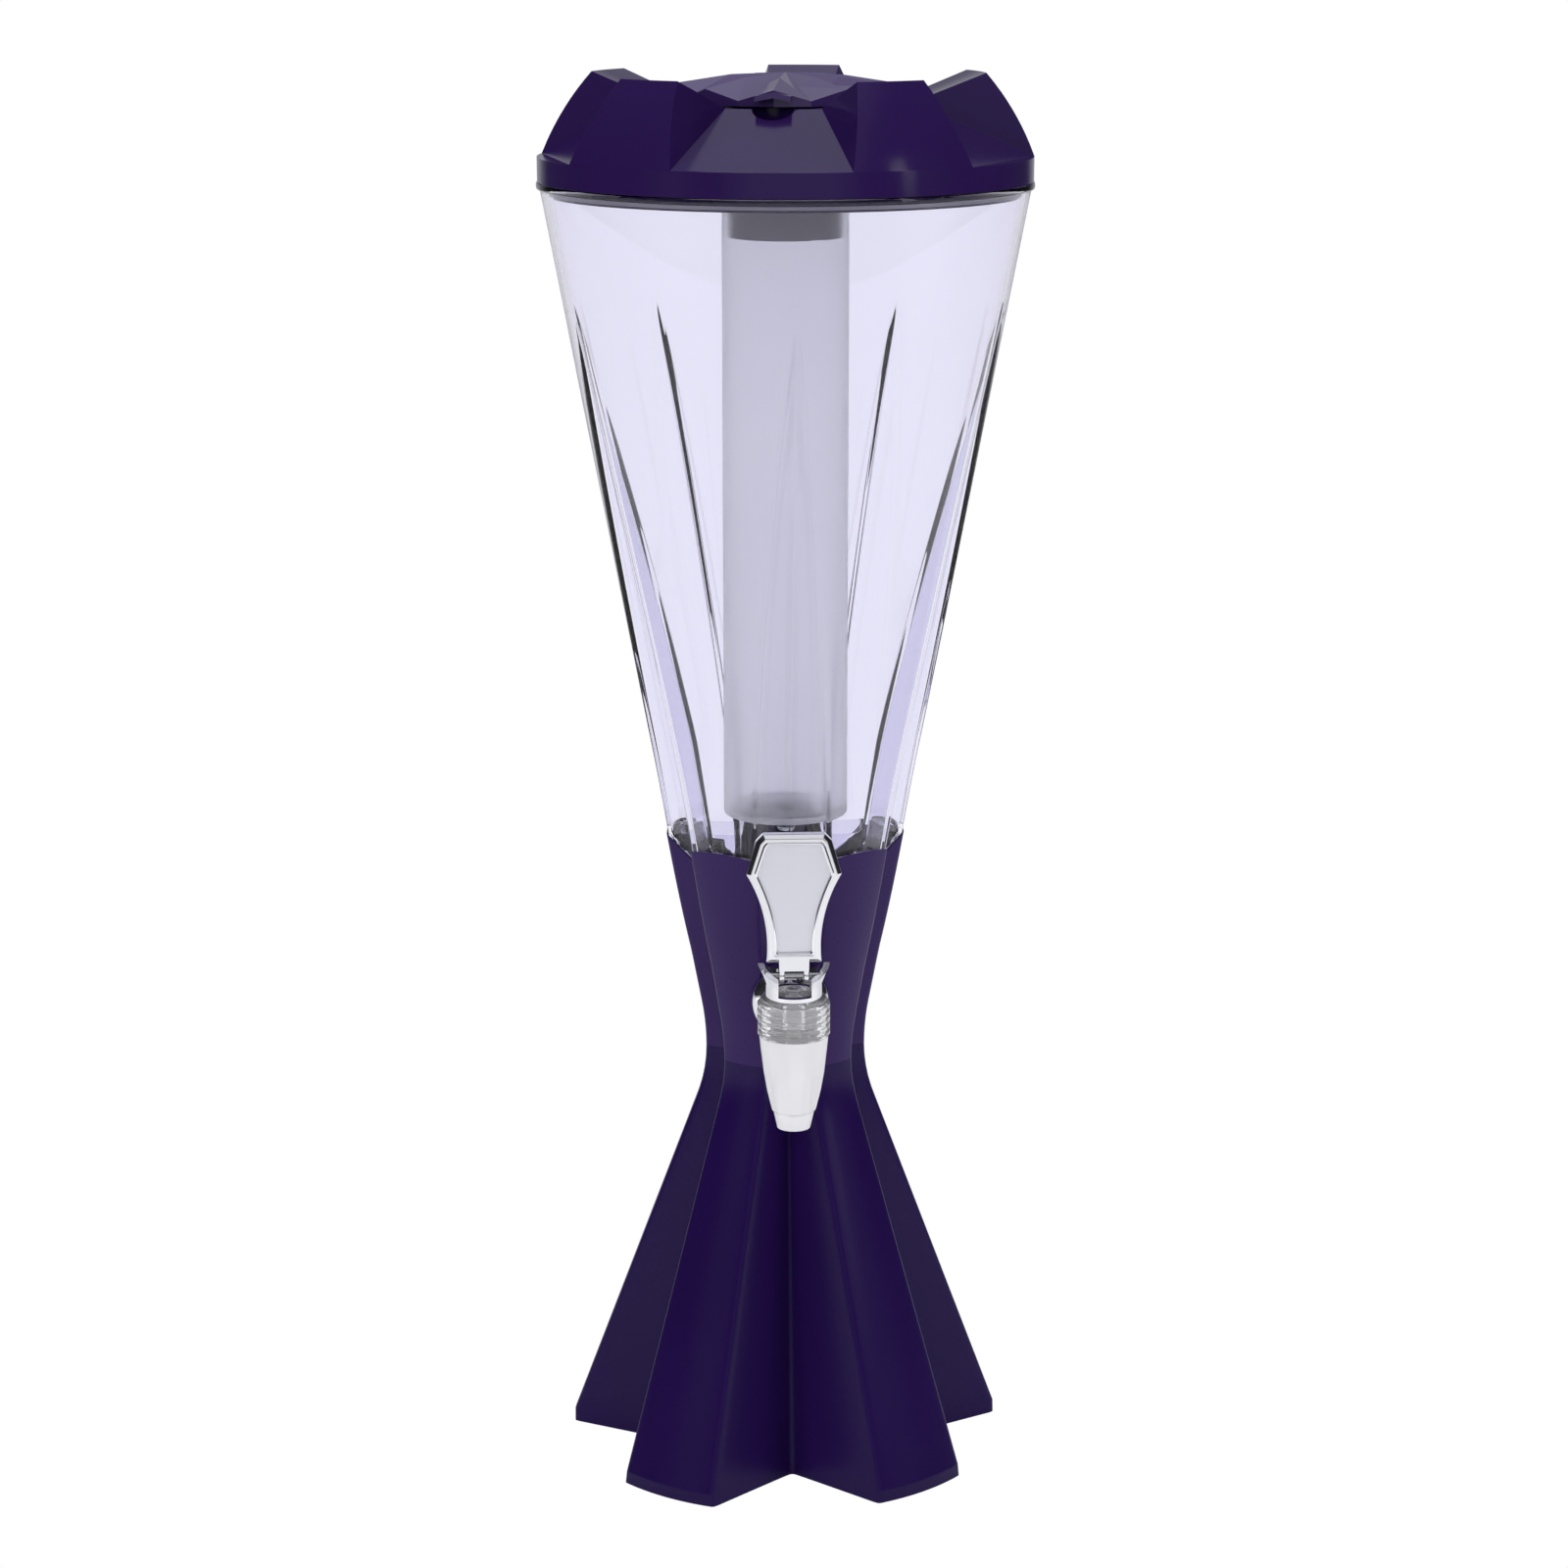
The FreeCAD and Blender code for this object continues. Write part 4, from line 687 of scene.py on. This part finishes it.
@dataclass
class Tap:
    """The clear tap body, its chrome and the moving handle."""

    ribs: int = 5
    cup: float = 14.1
    rib_depth: float = 0.5
    nozzle: tuple[tuple[float, float], ...] = field(
        default=(
            (13.5, 188.6), (12.85, 182.0), (12.0, 174.0), (10.7, 166.5), (8.7, 158.4), (8.1, 157.8),
            (6.5, 151.0),
        )
    )

    def at_tap(self, mesh: bmesh.types.BMesh) -> bmesh.types.BMesh:
        """Mesh moved to the tap's upright axis."""
        return transformed(mesh, Matrix.Translation((0, TAP_Y * MM, 0)))

    def cup_mesh(self) -> bmesh.types.BMesh:
        """Cup with level ribs, open at the top."""
        pitch = 2.7
        outer = [(13.4, 188.7)]
        for k in range(self.ribs):
            low = 188.9 + k * pitch
            outer += [(self.cup - self.rib_depth, low), (self.cup, low + 0.7), (self.cup, low + 1.9)]
        outer.append((13.6, 202.2))
        return self.at_tap(spun(outer + [(10.6, 202.2), (10.6, 188.7)], 128))

    def nozzle_mesh(self) -> bmesh.types.BMesh:
        """Tapering nozzle with the chamber and the seat inside."""
        outer = rounded(list(reversed(self.nozzle)), 0.5, closed=False)
        inner = [(10.6, 188.6), (10.6, 176.2), (4.6, 176.2), (4.6, 174.0), (4.9, 173.6), (4.9, 151.0)]
        mesh = spun(outer + inner, 96)
        flutes = 12
        for vert in mesh.verts:
            height = vert.co.z / MM
            radius = math.hypot(vert.co.x, vert.co.y) / MM
            if radius > 6.2 and 151.5 < height < 186:
                turn = math.atan2(vert.co.y, vert.co.x) * flutes
                depth = 0.35 * math.sin((height - 151.5) / 34.5 * math.pi) * (0.5 + 0.5 * math.cos(turn))
                shrink = 1 - depth / radius if radius > 8.0 else 1.0
                vert.co.x *= shrink
                vert.co.y *= shrink
        return self.at_tap(mesh)

    def outline(self, inset: float, depth: float) -> list[Vector]:
        """Front outline of the paddle, moved in by inset, with softened corners.

        Args:
            inset: distance from the paddle's edge in millimetres.
            depth: place along Y in millimetres.

        Returns:
            Points in metres, clockwise from the top left.
        """
        right = [(11.8, 269.0, -0.5, -1.0), (14.5, 266.2, -1.0, -0.5), (18.3, 253.1, -1.0, 0.0)]
        points = [(x + inset * dx, z + inset * dz) for x, z, dx, dz in right]
        for k in range(1, 13):
            share = k / 12
            x = (1 - share) ** 2 * 18.3 + 2 * share * (1 - share) * 10.7 + share**2 * 10.7
            points.append((x - inset, 253.1 + (218.0 + inset - 253.1) * share))
        both = [(-x, z) for x, z in reversed(points)] + points
        soft = rounded(both, 1.6)
        return [Vector((x, depth, z)) * MM for x, z in soft]

    def panel(self) -> bmesh.types.BMesh:
        """Thin satin plate in the paddle's sunk front."""
        mesh = bmesh.new()
        rows = [[mesh.verts.new(p) for p in self.outline(3.9, y)] for y in (TAP_Y - 2.15, TAP_Y - 2.4)]
        for row in rows:
            mesh.faces.new(row)
        self.skirt(mesh, rows[0], rows[1])
        return mesh

    def border(self) -> bmesh.types.BMesh:
        """Raised bead round the panel."""
        mesh = bmesh.new()
        rows = []
        for k in range(9):
            angle = math.pi * k / 8
            points = self.outline(3.4 - 0.75 * math.cos(angle), TAP_Y - 2.9 - 0.75 * math.sin(angle))
            rows.append([mesh.verts.new(p) for p in points])
        for near, far in zip(rows, rows[1:] + rows[:1]):
            self.skirt(mesh, near, far)
        return mesh

    def skirt(
        self, mesh: bmesh.types.BMesh, near: list[bmesh.types.BMVert], far: list[bmesh.types.BMVert],
    ) -> None:
        """Joins two equal loops with a band of faces."""
        count = len(near)
        for i in range(count):
            j = (i + 1) % count
            mesh.faces.new((near[i], near[j], far[j], far[i]))

    def neck(self) -> bmesh.types.BMesh:
        """Shank and shoulder between the cup and the jar."""
        outline = [(4.2, 3.3), (7.0, 3.3), (7.0, 41.7), (7.7, 41.7), (7.7, 49.4), (4.2, 49.4)]
        return facing_tap(spun(rounded(outline, 0.3), 64))

    def build(self, materials: dict[str, bpy.types.Material]) -> None:
        """Makes the tap's pieces."""
        cup, nozzle = self.cup_mesh(), self.nozzle_mesh()
        Piece("tap_cup", "tap", Body.TOWER, ("tap_body",), crease=25).make(cup, materials)
        Piece("tap_nozzle", "nozzle", Body.TOWER, ("tap_body",), crease=35).make(nozzle, materials)
        Piece("tap_neck", "tap", Body.TOWER, ("tap_body",)).make(self.neck(), materials)
        bonnet = [(3.1, 193.2), (10.45, 193.2), (10.45, 202.2), (12.6, 202.2), (12.6, 203.8), (3.1, 203.8)]
        mesh = self.at_tap(spun(rounded(bonnet, 0.35), 96))
        Piece("bonnet_plug", "tap", Body.TOWER, ("tap_bonnet",)).make(mesh, materials)
        petals = Piece("crown_petals", "chrome", Body.TOWER, ("tap_crown",), crease=40, flat=True)
        petals.make(softened("tap_crown", 0.3), materials)
        handle = Piece("paddle", "chrome", Body.HANDLE, ("tap_handle",), crease=40, flat=True)
        handle.make(softened("tap_handle", 0.35, 20.0), materials)
        Piece("paddle_panel", "panel", Body.HANDLE).make(self.panel(), materials)
        Piece("paddle_border", "chrome", Body.HANDLE).make(self.border(), materials)
        dome = [(7.3, ESCUTCHEON_BACK), (15.2, ESCUTCHEON_BACK), (14.9, 38.4), (13.6, 39.8)]
        dome += [(11.6, 41.0), (8.6, 41.7), (7.3, 41.7)]
        mesh = facing_tap(spun(rounded(dome, 0.5), 96))
        Piece("escutcheon_dome", "chrome", Body.TOWER, ("tap_escutcheon",)).make(mesh, materials)


KEPT = {
    "waist_screws": "steel", "lid_liner": "violet", "lid_seal": "seal", "flap_hinge_pin": "steel",
    "tube_seal": "seal", "handle_pin": "steel", "tap_stem": "tap", "seat_plug": "silicone",
    "stem_boot": "silicone", "outer_washer": "seal", "inner_washer": "seal", "shank_nut": "white",
}


# The studio


@dataclass
class Studio:
    """Camera, lights, floor and background."""

    distance: float = 1.3961
    height: float = 0.6127
    pitch: float = 13.667
    yaw: float = 2.957
    lens: float = 82.77

    def camera(self) -> None:
        """Places the camera."""
        data = bpy.data.cameras.new("camera")
        data.lens = self.lens
        data.sensor_width = 36.0
        data.shift_x = -0.00096
        data.clip_start = 0.05
        holder = bpy.data.objects.new("camera", data)
        turn = math.radians(self.yaw)
        holder.location = (-self.distance * math.sin(turn), -self.distance * math.cos(turn), self.height)
        holder.rotation_euler = (math.radians(90 - self.pitch), 0, -turn)
        bpy.context.scene.collection.objects.link(holder)
        bpy.context.scene.camera = holder

    def area(
        self, name: str, place: Sequence[float], aim: Sequence[float], size: tuple[float, float],
        power: float, mirrored: bool = False,
    ) -> None:
        """Adds a soft box.

        Args:
            name: the light's name.
            place: its position in metres.
            aim: the point it faces.
            size: width and height in metres.
            power: watts.
            mirrored: whether it shows in reflections.
        """
        data = bpy.data.lights.new(name, "AREA")
        data.shape = "RECTANGLE"
        data.size = size[0]
        data.size_y = size[1]
        data.energy = power
        lamp = bpy.data.objects.new(name, data)
        lamp.location = place
        lamp.rotation_euler = (Vector(aim) - Vector(place)).to_track_quat("-Z", "Y").to_euler()
        lamp.visible_camera = False
        lamp.visible_glossy = mirrored
        lamp.visible_transmission = False
        bpy.context.scene.collection.objects.link(lamp)

    def lights(self) -> None:
        """Places the soft boxes."""
        self.area("left_box", (-1.3, -0.9, 0.75), (0, 0, 0.35), (0.5, 1.2), 14)
        self.area("right_box", (1.35, -0.6, 0.75), (0, 0, 0.35), (0.45, 1.2), 12)
        self.area("top_box", (0.0, 0.1, 1.7), (0, 0, 0.4), (1.0, 0.8), 10)
        self.area("front_box", (-0.2, -1.9, 1.2), (0, 0, 0.4), (0.7, 0.5), 6)
        self.area("window_box", (1.0, -0.75, 0.85), (0, 0, 0.42), (0.16, 0.9), 1.2, mirrored=True)

    def world(self) -> None:
        """White behind the object, softer light elsewhere."""
        world = bpy.data.worlds.new("studio")
        bpy.context.scene.world = world
        world.use_nodes = True
        tree = world.node_tree
        tree.nodes.clear()
        output = tree.nodes.new("ShaderNodeOutputWorld")
        path = tree.nodes.new("ShaderNodeLightPath")
        seen = tree.nodes.new("ShaderNodeMath")
        seen.operation = "MAXIMUM"
        tree.links.new(path.outputs["Is Camera Ray"], seen.inputs[0])
        tree.links.new(path.outputs["Is Transmission Ray"], seen.inputs[1])
        white = tree.nodes.new("ShaderNodeBackground")
        white.inputs["Color"].default_value = (1, 1, 1, 1)
        white.inputs["Strength"].default_value = 1.0
        soft = tree.nodes.new("ShaderNodeBackground")
        tree.links.new(self.surroundings(tree), soft.inputs["Color"])
        soft.inputs["Strength"].default_value = 1.0
        mix = tree.nodes.new("ShaderNodeMixShader")
        tree.links.new(seen.outputs["Value"], mix.inputs["Fac"])
        tree.links.new(soft.outputs["Background"], mix.inputs[1])
        tree.links.new(white.outputs["Background"], mix.inputs[2])
        tree.links.new(mix.outputs["Shader"], output.inputs["Surface"])

    def surroundings(self, tree: bpy.types.NodeTree) -> bpy.types.NodeSocket:
        """Colour of the room in reflections: bright in front, above and behind, dark at the sides.

        Args:
            tree: the world's node tree.

        Returns:
            The colour socket.
        """
        coords = tree.nodes.new("ShaderNodeTexCoord")
        axes = tree.nodes.new("ShaderNodeSeparateXYZ")
        tree.links.new(coords.outputs["Generated"], axes.inputs[0])
        colors = []
        levels = {
            "Z": ((0.0, 0.35), (0.45, 0.5), (0.53, 0.42), (0.66, 0.25), (0.85, 0.75)),
            "X": ((0.0, 0.05), (0.22, 0.1), (0.34, 1.0), (0.66, 1.0), (0.78, 0.1), (1.0, 0.05)),
        }
        for axis, stops in levels.items():
            share = tree.nodes.new("ShaderNodeMapRange")
            share.inputs["From Min"].default_value = -1.0
            tree.links.new(axes.outputs[axis], share.inputs["Value"])
            ramp = tree.nodes.new("ShaderNodeValToRGB")
            ramp.color_ramp.elements.remove(ramp.color_ramp.elements[1])
            for number, (place, level) in enumerate(stops):
                stop = ramp.color_ramp.elements[0] if number == 0 else ramp.color_ramp.elements.new(place)
                stop.position = place
                stop.color = (level, level, min(1.0, level * 1.08), 1)
            tree.links.new(share.outputs["Result"], ramp.inputs["Fac"])
            colors.append(ramp.outputs["Color"])
        product = tree.nodes.new("ShaderNodeMix")
        product.data_type = "RGBA"
        product.blend_type = "MULTIPLY"
        product.inputs[0].default_value = 1.0
        tree.links.new(colors[0], product.inputs[6])
        tree.links.new(colors[1], product.inputs[7])
        return product.outputs[2]

    def floor(self) -> None:
        """Pale floor that joins the white background."""
        mesh = bmesh.new()
        bmesh.ops.create_grid(mesh, x_segments=1, y_segments=1, size=3.0)
        data = bpy.data.meshes.new("floor")
        mesh.to_mesh(data)
        mesh.free()
        floor = bpy.data.objects.new("floor", data)
        bpy.context.scene.collection.objects.link(floor)
        nodes = Nodes("floor")
        path = nodes.add("ShaderNodeLightPath")
        seen = nodes.add("ShaderNodeMath", operation="MAXIMUM")
        nodes.link(path.outputs["Is Camera Ray"], seen.inputs[0])
        nodes.link(path.outputs["Is Transmission Ray"], seen.inputs[1])
        glow = nodes.add("ShaderNodeEmission")
        diffuse = nodes.add("ShaderNodeBsdfDiffuse")
        pale = nodes.tint(nodes.noise(8.0), (0.78, 0.78, 0.79), (0.8, 0.8, 0.81))
        nodes.link(pale, diffuse.inputs["Color"])
        nodes.link(nodes.tint(nodes.noise(8.0), (1.0, 1.0, 1.0), (1.0, 1.0, 1.0)), glow.inputs["Color"])
        mix = nodes.add("ShaderNodeMixShader")
        nodes.link(seen.outputs["Value"], mix.inputs["Fac"])
        nodes.link(diffuse.outputs["BSDF"], mix.inputs[1])
        nodes.link(glow.outputs["Emission"], mix.inputs[2])
        nodes.link(mix.outputs["Shader"], nodes.output.inputs["Surface"])
        data.materials.append(nodes.material)

    def build(self) -> None:
        """Sets up the whole studio."""
        self.camera()
        self.lights()
        self.world()
        self.floor()
        bpy.context.scene.view_settings.view_transform = "Standard"


def dress_kept(materials: dict[str, bpy.types.Material]) -> None:
    """Gives the CAD nodes that stay their finishes."""
    for node, finish in KEPT.items():
        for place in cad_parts[node].material_slots:
            place.material = materials[finish]
        log.info("%s: %s", node, finish)


def main() -> None:
    """Builds every piece in order."""
    logging.basicConfig(level=logging.INFO, format="%(message)s")
    materials = {name: finish.build() for name, finish in FINISHES.items()}
    stand = Stand()
    stand.build(materials)
    Jar(stand).build(materials)
    Lid().build(materials)
    Tap().build(materials)
    dress_kept(materials)
    Studio().build()


if __name__ == "__main__":
    main()
